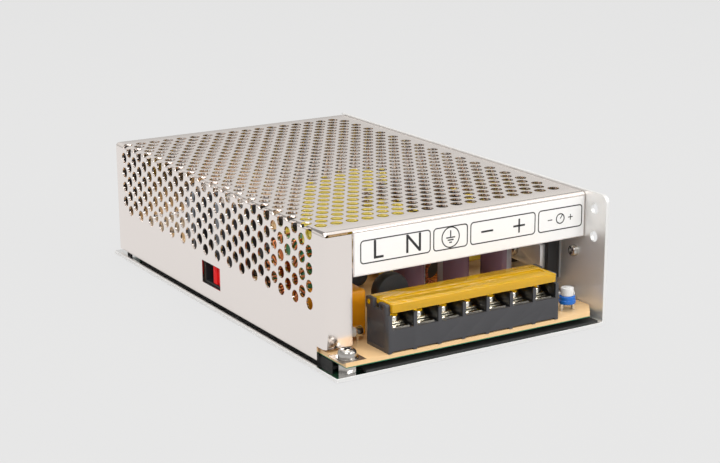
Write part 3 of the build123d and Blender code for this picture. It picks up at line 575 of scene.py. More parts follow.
@dataclass
class ScrewHead:
    """Head of a screw with a driver recess, standing on the plane z = 0 of its own mesh."""

    radius: float
    height: float
    recess: Recess = Recess.CROSS
    crown: float = 0.62
    arm: float = 0.62
    arm_width: float = 0.2
    depth: float = 0.45
    steps: int = 32
    shoulders: tuple[Pair, ...] = ((0.84, 0.88), (0.95, 0.68), (1.0, 0.42), (1.0, 0.0))

    def recess_outline(self) -> list[Pair]:
        """Draws the recess's outline.

        Returns:
            Its points about the middle, in order.
        """
        reach, half = self.arm * self.radius, self.arm_width * self.radius
        if self.recess is Recess.SLOT:
            edge = self.radius * self.crown * 0.97
            return [(-edge, -half), (edge, -half), (edge, half), (-edge, half)]
        return [(half, half), (half, reach), (-half, reach), (-half, half), (-reach, half), (-reach, -half),
                (-half, -half), (-half, -reach), (half, -reach), (half, -half), (reach, -half), (reach, half)]

    def mesh(self) -> BMesh:
        """Builds the head.

        Returns:
            The head, closed below.
        """
        bm = bmesh.new()
        rim = bmesh.ops.create_circle(bm, cap_ends=False, radius=self.radius * self.crown,
                                      segments=self.steps)
        shift(bm, rim["verts"], 0, 0, self.height)
        ring = list(bm.edges)
        _, hole = outline(bm, [(x, y, self.height) for x, y in self.recess_outline()])
        bmesh.ops.triangle_fill(bm, use_beauty=True, use_dissolve=False, edges=ring + hole)
        sunk = bmesh.ops.extrude_edge_only(bm, edges=hole)["geom"]
        shift(bm, new_verts(sunk), 0, 0, -self.depth * self.height)
        bmesh.ops.edgeloop_fill(bm, edges=new_edges(sunk))
        for wide, high in self.shoulders:
            grown = bmesh.ops.extrude_edge_only(bm, edges=ring)["geom"]
            ring = new_edges(grown)
            for vert in new_verts(grown):
                flat = Vector((vert.co.x, vert.co.y, 0.0)).normalized() * wide * self.radius
                vert.co = (flat.x, flat.y, high * self.height)
        bmesh.ops.edgeloop_fill(bm, edges=ring)
        bmesh.ops.recalc_face_normals(bm, faces=bm.faces)
        return bm


def shank(radius: float, length: float) -> BMesh:
    """Makes a threaded shank that hangs down from z = 0.

    Args:
        radius: Radius over the threads.
        length: How far it reaches down.

    Returns:
        The shank.
    """
    pitch = radius / 3
    profile = [(0.0, 0.0)]
    for index in range(int(length / pitch)):
        profile += [(radius, -index * pitch), (radius * 0.86, -(index + 0.5) * pitch)]
    return lathe([*profile, (radius * 0.7, -length), (0.0, -length)], 20)


@dataclass
class Cover:
    """Perforated cover, drawn flat and folded round its bends."""

    left: float = -0.0471
    right: float = 0.0476
    front: float = -0.0697
    rear: float = 0.080
    bottom: float = 0.0021
    top: float = 0.0415
    sheet: float = 0.00055
    fold: float = 0.0014
    hole_radius: float = 0.0019
    hole_sides: int = 18
    pitch: float = 0.0053
    column_step: float = 0.00429
    columns: int = 32
    rows: int = 22
    top_rows: int = 17
    first_column: float = -0.0611
    first_row: float = -0.0430
    flange_height: float = 0.0144
    flange_left: float = -0.0372
    strip_width: float = 0.0094
    corner_height: float = 0.0064
    corner_setback: float = 0.0047
    rear_relief: float = 0.0008
    window_front: float = -0.0025
    window_length: float = 0.0131
    window_bottom: float = 0.0068
    window_height: float = 0.0076
    window_reach: Pair = (0.004, 0.002)
    tab_width: float = 0.014
    tab_height: float = 0.009
    tab_lines: Pair = (-0.058, 0.058)
    bend_steps: int = 6

    def __post_init__(self) -> None:
        """Works out the lengths of the bends, the ends of the flats and the first hole's row."""
        self.quarter = self.fold * math.pi / 2
        self.bend_start = self.top - self.fold - self.bottom
        self.bend_end = self.bend_start + self.quarter
        self.flat_front = self.front + self.fold
        self.flat_rear = self.rear - self.fold
        self.last_row = self.along_top(self.first_row) + (self.top_rows - 1) * self.pitch
        self.front_line = self.first_column - self.column_step / 2

    def along_top(self, x: float) -> float:
        """Unfolded length of a place on the top."""
        return self.bend_end + x - (self.left + self.fold)

    def front_edge(self, drop: float) -> float:
        """Unfolded y of a place that far down the front flange."""
        return self.flat_front - self.quarter - (drop - self.fold)

    def slice(self, bm: BMesh, axis: int, place: float, low: float = -1, high: float = 1) -> None:
        """Cuts the flat sheet along a line, over a range of the other direction.

        Args:
            bm: The flat sheet.
            axis: 0 to cut across the unfolded length, 1 to cut across y.
            place: Where the cut lies.
            low: Start of the range.
            high: End of the range.
        """
        faces = [face for face in bm.faces if low < face.calc_center_median()[1 - axis] < high]
        geom = set(faces)
        for face in faces:
            geom.update(face.edges)
            geom.update(face.verts)
        normal = Vector((1 - axis, axis, 0))
        bmesh.ops.bisect_plane(bm, geom=list(geom), dist=WELD, plane_co=normal * place, plane_no=normal,
                               clear_inner=False, clear_outer=False)

    def hole_cell(self) -> BMesh:
        """Makes one cell of the pattern.

        Returns:
            A flat rectangle with a round hole, about the origin.
        """
        bm = bmesh.new()
        half, deep = self.pitch / 2, self.column_step / 2
        corners = [(-half, -deep), (0, -deep), (half, -deep), (half, deep), (0, deep), (-half, deep)]
        _, border = outline(bm, [(x, y, 0) for x, y in corners])
        circle = bmesh.ops.create_circle(bm, cap_ends=False, radius=self.hole_radius,
                                         segments=self.hole_sides)
        rim = {edge for vert in circle["verts"] for edge in vert.link_edges}
        bmesh.ops.triangle_fill(bm, use_beauty=True, use_dissolve=False, edges=border + list(rim))
        return bm

    def hole_places(self) -> list[Pair]:
        """Lists the holes, in staggered columns.

        Returns:
            The unfolded place of every hole.
        """
        places = []
        for column in range(self.columns):
            start = self.last_row - (column % 2) * self.pitch / 2
            y = self.first_column + column * self.column_step
            places.extend((start - row * self.pitch, y) for row in range(self.rows - column % 2))
        return places

    def flat_sheet(self) -> BMesh:
        """Draws the unfolded sheet with its cut-outs and holes.

        Returns:
            The flat mesh, with x as the unfolded length from the side's lower edge.
        """
        width, low = self.along_top(self.right), self.front_edge(self.flange_height)
        high = self.flat_rear + self.quarter + (self.top - self.corner_height - self.fold)
        bm = bmesh.new()
        corners = ((0, low, 0), (width, low, 0), (width, high, 0), (0, high, 0))
        bm.faces.new([bm.verts.new(corner) for corner in corners])
        half = self.pitch / 2
        rear_line = self.front_line + self.columns * self.column_step
        for y in (self.front_line, rear_line, self.flat_front, self.flat_rear):
            self.slice(bm, 1, y)
        for column in range(1, self.columns):
            self.slice(bm, 1, self.front_line + column * self.column_step)
        lowest = self.last_row - (self.rows - 1) * self.pitch - half
        for step in range(2 * self.rows + 1):
            self.slice(bm, 0, lowest + step * half, self.front_line, rear_line)
        self.cut_flanges(bm, low, high, width)
        self.cut_window(bm)
        self.punch(bm)
        for step in range(self.bend_steps + 1):
            part = step / self.bend_steps * self.quarter
            self.slice(bm, 0, self.bend_start + part)
            self.slice(bm, 1, self.flat_front - part)
            self.slice(bm, 1, self.flat_rear + part)
        return bm

    def cut_flanges(self, bm: BMesh, low: float, high: float, width: float) -> None:
        """Cuts the sheet's outline at the flanges, strip, slit and corners.

        Args:
            bm: The flat sheet.
            low: Front end of the flat sheet.
            high: Rear end of the flat sheet.
            width: Unfolded width of the sheet.
        """
        start, corner = self.flat_front, self.corner_height - self.bottom
        strip_top, strip_low = self.bend_start, self.front_edge(self.strip_width)
        flange, flange_low = self.along_top(self.flange_left), self.front_edge(self.flange_height)
        rear_left = self.bend_end + self.rear_relief
        setback = self.front + self.corner_setback
        for place in (corner, strip_top, flange):
            self.slice(bm, 0, place, low, start)
        self.slice(bm, 1, strip_low, corner, strip_top)
        self.slice(bm, 1, flange_low, flange, width)
        self.slice(bm, 1, self.front, 0, flange)
        self.slice(bm, 0, corner, start, self.front_line)
        self.slice(bm, 1, setback, 0, corner)
        self.slice(bm, 0, rear_left, self.flat_rear, high)
        self.slice(bm, 1, self.rear, 0, rear_left)
        self.remove(bm, lambda x, y: (y < setback and x < corner) or (y < strip_low and x < strip_top)
                    or (y < self.front and strip_top < x < flange) or (y < flange_low and x > flange)
                    or (y > self.rear and x < rear_left))

    def remove(self, bm: BMesh, waste: Callable[[float, float], bool]) -> None:
        """Deletes the faces whose middle meets a test of x and y."""
        faces = [face for face in bm.faces if waste(*face.calc_center_median().xy)]
        bmesh.ops.delete(bm, geom=faces, context="FACES")

    def cut_window(self, bm: BMesh) -> None:
        """Cuts the selector's window in the side.

        Args:
            bm: The flat sheet.
        """
        x0 = self.window_bottom - self.bottom
        x1 = x0 + self.window_height
        y0, y1 = self.window_front, self.window_front + self.window_length
        for place in (y0, y1):
            self.slice(bm, 1, place, x0 - self.window_reach[0], x1 + self.window_reach[1])
        for place in (x0, x1):
            self.slice(bm, 0, place, y0 - self.column_step, y1 + self.column_step)
        self.remove(bm, lambda x, y: x0 < x < x1 and y0 < y < y1)

    def punch(self, bm: BMesh) -> None:
        """Replaces the grid's faces under each hole by a cell with a hole.

        Args:
            bm: The flat sheet.
        """
        places = self.hole_places()
        half, deep = self.pitch / 2, self.column_step / 2
        taken = {(round(x / half), round((y - self.first_column) / deep)) for x, y in places}
        offset = places[0][0] / half - round(places[0][0] / half)

        def under_hole(x: float, y: float) -> bool:
            """Tells whether a grid face lies under a hole.

            Args:
                x: Unfolded length of its middle.
                y: Place of its middle across.

            Returns:
                True for the two faces under each hole.
            """
            row = (y - self.first_column) / deep
            if abs(row - round(row)) > 0.2 or round(row) % 2:
                return False
            left = round(x / half - 0.5 - offset)
            return (left, round(row)) in taken or (left + 1, round(row)) in taken

        self.remove(bm, under_hole)
        add_mesh(bm, repeated(self.hole_cell(), [at(x, y, 0) for x, y in places]))
        bmesh.ops.remove_doubles(bm, verts=bm.verts, dist=2e-6)

    def folded(self, flat: Vector) -> Vector:
        """Folds one point of the flat sheet.

        Args:
            flat: Unfolded length, unfolded y and minus the depth under the outer face.

        Returns:
            The point in the object's frame.
        """
        length, y, depth = flat.x, flat.y, -flat.z
        if y < self.flat_front:
            past, depth = self.fold_line(self.flat_front - y, depth)
            y = self.flat_front - past
        elif y > self.flat_rear:
            past, depth = self.fold_line(y - self.flat_rear, depth)
            y = self.flat_rear + past
        if length <= self.bend_start:
            return Vector((self.left + depth, y, self.bottom + length))
        if length < self.bend_end:
            angle = (length - self.bend_start) / self.fold
            radius = self.fold - depth
            x = self.left + self.fold - radius * math.cos(angle)
            return Vector((x, y, self.top - self.fold + radius * math.sin(angle)))
        return Vector((self.left + self.fold + length - self.bend_end, y, self.top - depth))

    def fold_line(self, past: float, depth: float) -> Pair:
        """Folds a point past a bend's start.

        Args:
            past: Length past the start of the bend on the outer face.
            depth: Depth under the outer face.

        Returns:
            How far the point goes on, and its depth, once folded.
        """
        if past < self.quarter:
            angle = past / self.fold
            radius = self.fold - depth
            return radius * math.sin(angle), self.fold - radius * math.cos(angle)
        return self.fold - depth, self.fold + past - self.quarter

    def tab(self, line: float) -> BMesh:
        """Makes a screw tab, folded down inside the right wall, about a line across it."""
        low = Vector((self.right - self.sheet, line - self.tab_width / 2, self.top - self.tab_height))
        return corner_box(low, Vector((self.right, line + self.tab_width / 2, self.top - self.sheet)))

    def build(self) -> None:
        """Builds and dresses the cover."""
        bm = self.flat_sheet()
        bmesh.ops.recalc_face_normals(bm, faces=bm.faces)
        if sum(face.normal.z for face in bm.faces) < 0:
            bmesh.ops.reverse_faces(bm, faces=bm.faces)
        bmesh.ops.solidify(bm, geom=list(bm.faces), thickness=self.sheet)
        highest = max(vert.co.z for vert in bm.verts)
        for vert in bm.verts:
            vert.co.z -= highest
            vert.co = self.folded(vert.co)
        tabs = [self.tab(line) for line in self.tab_lines]
        finish_piece("cover_shell", joined([bm, *tabs]), [SATIN_SHEET], "cover_sheet", "cover", smooth=25.0)


@dataclass
class SheetParts:
    """Folded chassis, the clamp bars that lie against it and the film under the cover."""

    edge: float = 0.00008
    base_top: float = 0.0012
    base_end: float = 0.0468
    base_slope: float = 0.9
    film_top: float = 0.0407
    film_sheet: float = 0.0003
    film_drop: float = 0.005
    film_left: float = -0.0463
    film_turn: float = 0.0006
    film_front: float = -0.0675
    film_outline: tuple[Pair, ...] = (
        (-0.0130, -0.0675), (-0.0090, -0.0480), (-0.0200, -0.0480), (-0.0120, -0.0340), (0.0020, -0.0225),
        (0.0110, -0.0100), (0.0030, -0.0035), (-0.0210, -0.0140), (-0.0457, -0.0560))

    def film(self) -> None:
        """Builds the yellow film, cut at a slant behind and folded down along the left side."""
        low = self.film_top - self.film_sheet
        bm = bmesh.new()
        corners = [(self.film_left + self.film_turn, self.film_front), *self.film_outline]
        face = bm.faces.new([bm.verts.new((x, y, low)) for x, y in corners])
        thicken(bm, [face], self.film_sheet)
        flap = corner_box(Vector((self.film_left, self.film_front, self.film_top - self.film_drop)),
                          Vector((self.film_left + self.film_sheet, self.film_outline[-1][1],
                                  low - self.film_sheet)))
        finish_piece("front_film", joined([bm, flap]), [CLEAR_FILM], "clear_film", "insulating_film")

    def build(self) -> None:
        """Builds the chassis, clamp bars and film."""
        self.film()
        chassis = cad_copy("chassis", self.edge, 1)
        for face in chassis.faces:
            # Flat tops of the base get the smooth aluminium; its edge faces get the near-white copy, a
            # painted highlight.
            place = face.calc_center_median()
            if place.z < self.base_top + self.edge and place.x < self.base_end:
                face.material_index = 1 if face.normal.z > self.base_slope else 2
        finish_piece("chassis_shell", chassis, [BARE_SHEET, BASE_SHEET, EDGE_SHEET_HIGHLIT], "bare_sheet", "chassis")
        cad_piece("device_clamps", "clamp_bars", 0.0002, BARE_SHEET, "bare_sheet")


@dataclass
class Fasteners:
    """Screws and washers of the board, the cover, the clamps and the wall."""

    board_top: float = 0.0054
    board_places: tuple[Pair, ...] = (
        (-0.0430, -0.0755), (0.0430, -0.0615), (-0.0415, 0.0684), (0.0430, 0.0684))
    washer_radius: float = 0.0034
    washer_height: float = 0.00028
    spring_radius: float = 0.0027
    spring_height: float = 0.00032
    spring_turn: float = 346.0
    bore: float = 0.00165
    head_radius: float = 0.0028
    head_height: float = 0.0021
    shank_radius: float = 0.0015
    board_shank: float = 0.0042
    flush_shank: float = 0.0032
    cover_lines: Pair = (-0.058, 0.058)
    cover_height: float = 0.0363
    clamp_lines: Pair = (-0.042, 0.042)
    clamp_height: float = 0.0179
    clamp_face: float = 0.0408
    clamp_head: float = 0.002
    wall_outer: float = 0.049
    wall_inner: float = 0.0478
    wall_screw: Pair = (-0.0652, 0.0213)
    wall_head: Pair = (0.0019, 0.0016)
    sheet: float = 0.0012

    def washer(self) -> BMesh:
        """Makes a flat washer on the plane z = 0.

        Returns:
            The ring, with eased edges.
        """
        bore, radius, height, ease = self.bore, self.washer_radius, self.washer_height, self.washer_height / 5
        return lathe([(bore, 0), (radius - ease, 0), (radius, ease), (radius, height - ease),
                      (radius - ease, height), (bore, height)], 40, True)

    def spring_washer(self) -> BMesh:
        """Makes a spring washer on the plane z = 0.

        Returns:
            The open ring.
        """
        bm = bmesh.new()
        corners = [(self.bore, 0), (self.spring_radius, 0), (self.spring_radius, self.spring_height),
                   (self.bore, self.spring_height)]
        points = [bm.verts.new((x, 0, z)) for x, z in corners]
        edges = list(bm.faces.new(points).edges)
        bmesh.ops.spin(bm, geom=points + edges, cent=(0, 0, 0), axis=(0, 0, 1),
                       angle=math.radians(self.spring_turn), steps=36, use_merge=False, use_duplicate=False)
        bmesh.ops.edgeloop_fill(bm, edges=[edge for edge in bm.edges if edge.is_boundary])
        bmesh.ops.recalc_face_normals(bm, faces=bm.faces)
        return bm

    def board_fixings(self) -> None:
        """Builds the screws of the board with their two washers."""
        screws, washers = [], []
        for index, (x, y) in enumerate(self.board_places):
            spin = turn(25 + 40 * index, "Z")
            low = self.board_top + self.washer_height
            place = at(x, y, low + self.spring_height)
            screws.append(moved(ScrewHead(self.head_radius, self.head_height).mesh(), place @ spin))
            screws.append(moved(shank(self.shank_radius, self.board_shank), place))
            washers.append(moved(self.washer(), at(x, y, self.board_top)))
            washers.append(moved(self.spring_washer(), at(x, y, low) @ spin))
        finish_piece("board_screw_set", joined(screws), [STEEL], "steel", "board_screws")
        finish_piece("board_washer_set", joined(washers), [STEEL], "steel", "board_washers")

    def flush_screw(self) -> BMesh:
        """Makes a countersunk screw.

        Returns:
            The screw, with its face on the plane z = 0 and facing up.
        """
        head = ScrewHead(self.head_radius, self.sheet, crown=0.98, arm=0.55, arm_width=0.16, depth=0.7,
                         shoulders=((1.0, 0.96), (0.55, 0.0)))
        return moved(joined([head.mesh(), shank(self.shank_radius, self.flush_shank)]), at(0, 0, -self.sheet))

    def side_fixings(self) -> None:
        """Builds the flush screws of the cover, the clamp screws and the screw of the wall."""
        outwards, inwards = turn(90, "Y"), turn(-90, "Y")
        flush = [moved(self.flush_screw(), at(self.wall_outer, line, self.cover_height) @ outwards)
                 for line in self.cover_lines]
        finish_piece("cover_screw_set", joined(flush), [STEEL], "steel", "cover_screws")
        clamps = []
        for line in self.clamp_lines:
            screw = joined([ScrewHead(self.head_radius, self.clamp_head).mesh(),
                            shank(self.shank_radius, self.wall_outer - self.clamp_face)])
            clamps.append(moved(screw, at(self.clamp_face, line, self.clamp_height) @ inwards))
        finish_piece("clamp_screw_set", joined(clamps), [STEEL], "steel", "clamp_screws")
        single = joined([ScrewHead(*self.wall_head).mesh(), shank(self.shank_radius, self.sheet)])
        finish_piece("wall_screw_piece", moved(single, at(self.wall_inner, *self.wall_screw) @ inwards),
                     [STEEL], "steel", "wall_screw")

    def build(self) -> None:
        """Builds every screw and washer, and the spacers."""
        self.board_fixings()
        self.side_fixings()
        cad_piece("spacer_set", "spacers", 0.0002, STEEL, "steel")


@dataclass
class TerminalBlock:
    """Terminal housing with the contact, clamp and screw of each pole, and its lid."""

    poles: int = 7
    first: float = -0.026775
    pitch: float = 0.00865
    line: float = -0.0729
    contact_top: float = 0.0128
    clamp_half: float = 0.0031
    clamp_sheet: float = 0.00034
    clamp_curl: float = 0.00022
    clamp_flat: float = 0.6
    clamp_gap: float = 0.00006
    head_base: float = 0.0136
    head_radius: float = 0.003
    head_height: float = 0.0021
    shank_radius: float = 0.00172
    shank_length: float = 0.005
    well_front: float = -0.0768
    well_rear: float = -0.0670
    well_base: float = 0.0098
    well_top: float = 0.0182

    def clamp(self) -> BMesh:
        """Makes a clamp of two plates with curled front and rear edges.

        Returns:
            The clamp, on the plane z = 0.
        """
        parts = []
        for index, half in enumerate((self.clamp_half, self.clamp_half * 0.86)):
            bm = bmesh.new()
            bmesh.ops.create_grid(bm, x_segments=2, y_segments=12, size=half)
            for vert in bm.verts:
                past = max(0.0, abs(vert.co.y) / half - self.clamp_flat) / (1 - self.clamp_flat)
                vert.co.z = self.clamp_curl * past ** 2 * (1 - 2 * index)
            bmesh.ops.solidify(bm, geom=list(bm.faces), thickness=self.clamp_sheet)
            base = -min(vert.co.z for vert in bm.verts) + index * (self.clamp_sheet + self.clamp_gap)
            parts.append(moved(bm, at(0, 0, base)))
        return joined(parts)

    def hardware(self) -> None:
        """Builds the contacts, clamps and screws."""
        clamps, screws = [], []
        for pole in range(self.poles):
            x = self.first + pole * self.pitch
            clamps.append(moved(self.clamp(), at(x, self.line, self.contact_top)))
            place = at(x, self.line, self.head_base)
            head = ScrewHead(self.head_radius, self.head_height).mesh()
            screws.append(moved(head, place @ turn(20 + 37 * pole, "Z")))
            screws.append(moved(shank(self.shank_radius, self.shank_length), place))
        finish_piece("clamp_set", joined(clamps), [NICKEL], "nickel", "clamp_plates")
        finish_piece("terminal_screw_set", joined(screws), [NICKEL], "nickel", "terminal_screws")
        cad_piece("contact_set", "terminal_contacts", 0.0001, NICKEL, "nickel", segments=1, sharp=60)

    def build(self) -> None:
        """Builds the housing, whose wells are a little smoother and darkened inside by painted shade, the
        hardware and the lid.
        """
        housing = cad_copy("terminal_housing", 0.00013)
        middle = self.first + self.pitch * (self.poles - 1) / 2
        # Faces inside the wells take the darker material: painted shade in the recesses.
        for face in housing.faces:
            x, y, z = face.calc_center_median()
            if (abs(x - middle) < self.pitch * self.poles / 2 and self.well_front < y < self.well_rear
                    and self.well_base < z < self.well_top):
                face.material_index = 1
        finish_piece("terminal_case", housing, [CHARCOAL, PAINTED_WELL_SHADE], "block_plastic", "terminal_housing")
        self.hardware()
        cad_piece("lid_shell", "terminal_lid", 0.0003, AMBER, "amber", 3, body="lid")


@dataclass
class Label:
    """White label with a row of framed marks, printed on the plane z = 0 and then stood up."""

    face: float = -0.06985
    frames: tuple[Pair, ...] = (
        (-0.0350, -0.0105), (-0.0096, 0.0029), (0.0038, 0.0283), (0.0293, 0.0466))
    low: float = 0.0305
    high: float = 0.0377
    line: float = 0.00036
    corner: float = 0.0012
    depth: float = 0.00003
    letter_size: float = 0.0082
    spread: float = 0.0062
    sign: Pair = (0.0044, 0.0006)
    sign_reach: float = 0.0060
    earth_ring: float = 0.0033
    earth_lift: float = 0.0001
    earth_stem: float = 0.0022
    earth_bars: Triple = (0.0032, 0.0021, 0.0010)
    earth_step: float = 0.00075
    earth_line: float = 0.0004
    knob_ring: float = 0.0017
    knob_reach: float = 0.0040
    pointer: Pair = (0.0003, 0.0014)
    pointer_turn: float = -35.0
    small_sign: Pair = (0.0018, 0.0003)

    def frame(self, left: float, right: float) -> BMesh:
        """Makes one flat rounded frame.

        Args:
            left: Its left end along the label.
            right: Its right end.

        Returns:
            The frame.
        """
        bm = bmesh.new()
        corners = [(left, self.low), (right, self.low), (right, self.high), (left, self.high)]
        face = bm.faces.new([bm.verts.new((x, y, 0)) for x, y in corners])
        bmesh.ops.bevel(bm, geom=list(face.verts), offset=self.corner, offset_type="OFFSET",
                        affect="VERTICES", segments=5, profile=0.5, material=-1)
        inside = bm.faces[:]
        bmesh.ops.inset_region(bm, faces=inside, thickness=self.line, use_even_offset=True, use_boundary=True)
        bmesh.ops.delete(bm, geom=inside, context="FACES")
        return thicken(bm, bm.faces[:], self.depth)

    def bar(self, x: float, y: float, width: float, height: float) -> BMesh:
        """Makes a thin printed bar about a point."""
        half, middle = Vector((width / 2, height / 2, 0)), Vector((x, y, 0))
        return corner_box(middle - half, middle + half + Vector((0, 0, self.depth)))

    def plus(self, x: float, y: float, sign: Pair) -> list[BMesh]:
        """Makes a plus from two bars of a length and a width."""
        return [self.bar(x, y, *sign), self.bar(x, y, *sign[::-1])]

    def ring(self, x: float, y: float, radius: float) -> BMesh:
        """Makes a thin printed ring.

        Args:
            x: Its middle along the label.
            y: Its middle up the label.
            radius: Its outer radius.

        Returns:
            The ring.
        """
        inner = radius - self.line
        bm = lathe([(inner, 0), (radius, 0), (radius, self.depth), (inner, self.depth)], 40, True)
        return moved(bm, at(x, y, 0))

    def earth_mark(self, x: float, y: float) -> list[BMesh]:
        """Makes the protective earth symbol: a stem over three bars in a ring.

        Args:
            x: Its middle along the label.
            y: Its middle up the label.

        Returns:
            Its pieces.
        """
        bars = [self.bar(x, y + self.earth_stem / 2, self.earth_line, self.earth_stem)]
        for index, width in enumerate(self.earth_bars):
            bars.append(self.bar(x, y - index * self.earth_step, width, self.earth_line))
        return [self.ring(x, y + self.earth_lift, self.earth_ring), *bars]

    def adjust_mark(self, x: float, y: float) -> list[BMesh]:
        """Makes an adjustment symbol: a knob between a minus and a plus.

        Args:
            x: Its middle along the label.
            y: Its middle up the label.

        Returns:
            Its pieces.
        """
        pointer = moved(self.bar(0, self.pointer[1] / 2, *self.pointer),
                        at(x, y, 0) @ turn(self.pointer_turn, "Z"))
        return [self.ring(x, y, self.knob_ring), pointer,
                self.bar(x - self.knob_reach, y, *self.small_sign),
                *self.plus(x + self.knob_reach, y, self.small_sign)]

    def build(self) -> None:
        """Prints the marks and stands them up on the label's face."""
        y = (self.low + self.high) / 2
        supply, earth, output, adjust = [(left + right) / 2 for left, right in self.frames]
        parts = [self.frame(left, right) for left, right in self.frames]
        for offset, letter in ((-self.spread, "L"), (self.spread, "N")):
            flat = lettering(letter, self.letter_size)
            parts.append(moved(thicken(flat, flat.faces[:], self.depth), at(supply + offset, y, 0)))
        parts += [*self.earth_mark(earth, y), self.bar(output - self.sign_reach, y, *self.sign),
                  *self.plus(output + self.sign_reach, y, self.sign), *self.adjust_mark(adjust, y)]
        finish_piece("label_print", moved(joined(parts), at(0, self.face, 0) @ turn(90, "X")), [INK], "label")
        cad_piece("label_sheet", "front_label", 0.00004, LABEL, "label", 1)


@dataclass
class Can:
    """Upright electrolytic capacitor with a printed stripe and a crimp near its foot."""

    x: float
    y: float
    radius: float
    height: float
    stripe: float
    stripe_width: float = 40.0
    base: float = 0.0054

    def build(self) -> BMesh:
        """Turns the can.

        Returns:
            The can, with the sleeve as material 0, the stripe as 1 and the bare top as 2.
        """
        r, h = self.radius, self.height
        foot = [(0, 0), (0.9, 0), (0.97, 0.02), (1, 0.05), (1, 0.10), (0.95, 0.125), (0.95, 0.14), (1, 0.165)]
        head = [(1, 0.14), (0.98, 0.05), (0.93, 0.01), (0.88, 0), (0.80, 0.01), (0.79, 0.05), (0.45, 0.06),
                (0.44, 0.075), (0.42, 0.06), (0, 0.06)]
        bm = lathe([(r * x, h * z) for x, z in foot] + [(r * x, h - r * z) for x, z in head], 48)
        facing = turn(self.stripe, "Z") @ Vector((1, 0, 0))
        reach = math.cos(math.radians(self.stripe_width / 2))
        for face in bm.faces:
            middle = face.calc_center_median()
            out = Vector((middle.x, middle.y, 0))
            if out.length < r * 0.8 and middle.z > h / 2:
                face.material_index = 2
            elif out.length > r * 0.9 and out.normalized().dot(facing) > reach and middle.z > h * 0.05:
                face.material_index = 1
        return moved(bm, at(self.x, self.y, self.base))


@dataclass
class Capacitors:
    """Cans behind the front opening and beside the left wall, the film capacitor and the discs."""

    output_line: float = -0.050
    output_places: tuple[Pair, ...] = ((-0.0052, -30.0), (0.0114, 174.0), (0.0280, -66.0))
    output_size: Pair = (0.005, 0.020)
    bulk_places: tuple[Triple, ...] = ((-0.0275, 0.020, 180.0), (-0.0275, 0.041, 192.0))
    bulk_size: Pair = (0.010, 0.025)
    disc_places: tuple[Pair, ...] = ((-0.004, -0.016), (-0.004, -0.003))
    disc_size: Pair = (0.0036, 0.0026)
    base: float = 0.0054

    def build(self) -> None:
        """Builds every capacitor; the discs stand on edge."""
        cans = [Can(x, self.output_line, *self.output_size, stripe).build()
                for x, stripe in self.output_places]
        finish_piece("output_cans", joined(cans), [BROWN_SLEEVE, GREY_STRIPE, CAN_TOP], "brown_sleeve",
                     "output_capacitors")
        bulk = [Can(x, y, *self.bulk_size, stripe, 24.0).build() for x, y, stripe in self.bulk_places]
        finish_piece("bulk_cans", joined(bulk), [BLACK_SLEEVE, PALE_STRIPE, CAN_TOP], "black_sleeve",
                     "bulk_capacitors")
        cad_piece("film_box", "film_capacitor", 0.0007, ORANGE_BOX, "film_box", segments=3, sharp=40)
        r, w = self.disc_size
        profile = [(0, 0), (0.55, 0), (0.9, 0.18), (1, 0.5), (0.9, 0.82), (0.55, 1), (0, 1)]
        discs = [moved(lathe([(r * x, w * z) for x, z in profile]), at(x, y, self.base + r) @ turn(90, "X"))
                 for x, y in self.disc_places]
        finish_piece("coated_discs", joined(discs), [BLUE_DISC], "blue_disc", "ceramic_capacitors")


@dataclass
class Choke:
    """Upright ring core with its turns of wire."""

    name: str
    core_node: str
    winding_node: str
    place: Matrix
    radius: float
    bore: float
    width: float
    arcs: tuple[Pair, ...]
    turns: int
    wire: float = 0.00042
    wire_bend: float = 0.0008
    stand_off: float = 0.00048
    ease: float = 0.0007

    def core(self) -> BMesh:
        """Turns the ring core.

        Returns:
            The core, with rounded edges.
        """
        r, b, h, e = self.radius, self.bore, self.width / 2, self.ease
        profile = []
        for x, z, inx, inz in ((b, -h, 1, 1), (r, -h, -1, 1), (r, h, -1, -1), (b, h, 1, -1)):
            pair = [(x, z + inz * e), (x + inx * e * 0.3, z + inz * e * 0.3), (x + inx * e, z)]
            profile += pair if inx * inz > 0 else pair[::-1]
        return lathe(profile, 64, True)

    def winding(self) -> BMesh:
        """Lays the turns along each arc.

        Returns:
            The turns.
        """
        loop = wire_loop(self.bore - self.stand_off, self.radius + self.stand_off,
                         self.width / 2 + self.stand_off, self.wire, self.wire_bend)
        return repeated(loop, [turn(start + (stop - start) * index / (self.turns - 1), "Z")
                               for start, stop in self.arcs for index in range(self.turns)])

    def build(self) -> None:
        """Builds the core and its winding."""
        finish_piece(f"{self.name}_core_ring", moved(self.core(), self.place), [GREEN_CORE], "green_core",
                     self.core_node)
        finish_piece(f"{self.name}_turns", moved(self.winding(), self.place), [COPPER], "copper",
                     self.winding_node, smooth=80.0)


class WoundParts:
    """Both chokes and both transformers."""

    def build(self) -> None:
        """Builds the chokes and the transformers."""
        Choke("input_choke", "input_choke_core", "input_choke_windings",
              at(-0.0358, -0.0366, 0.018826) @ turn(90, "Y"), radius=0.013, bore=0.0065, width=0.009,
              arcs=((-163.0, -17.0), (17.0, 163.0)), turns=17).build()
        Choke("output_choke", "output_choke_core", "output_choke_winding",
              at(0.011, -0.0392, 0.0143) @ turn(90, "X"), radius=0.008, bore=0.0044, width=0.0046,
              arcs=((-253.0, 73.0),), turns=26).build()
        for name in ("transformer", "drive_transformer"):
            cad_piece(f"{name}_frame", f"{name}_core", 0.0004, FERRITE, "ferrite")
            cad_piece(f"{name}_coil", f"{name}_winding", 0.0012, TAPE, "yellow_tape", 4)


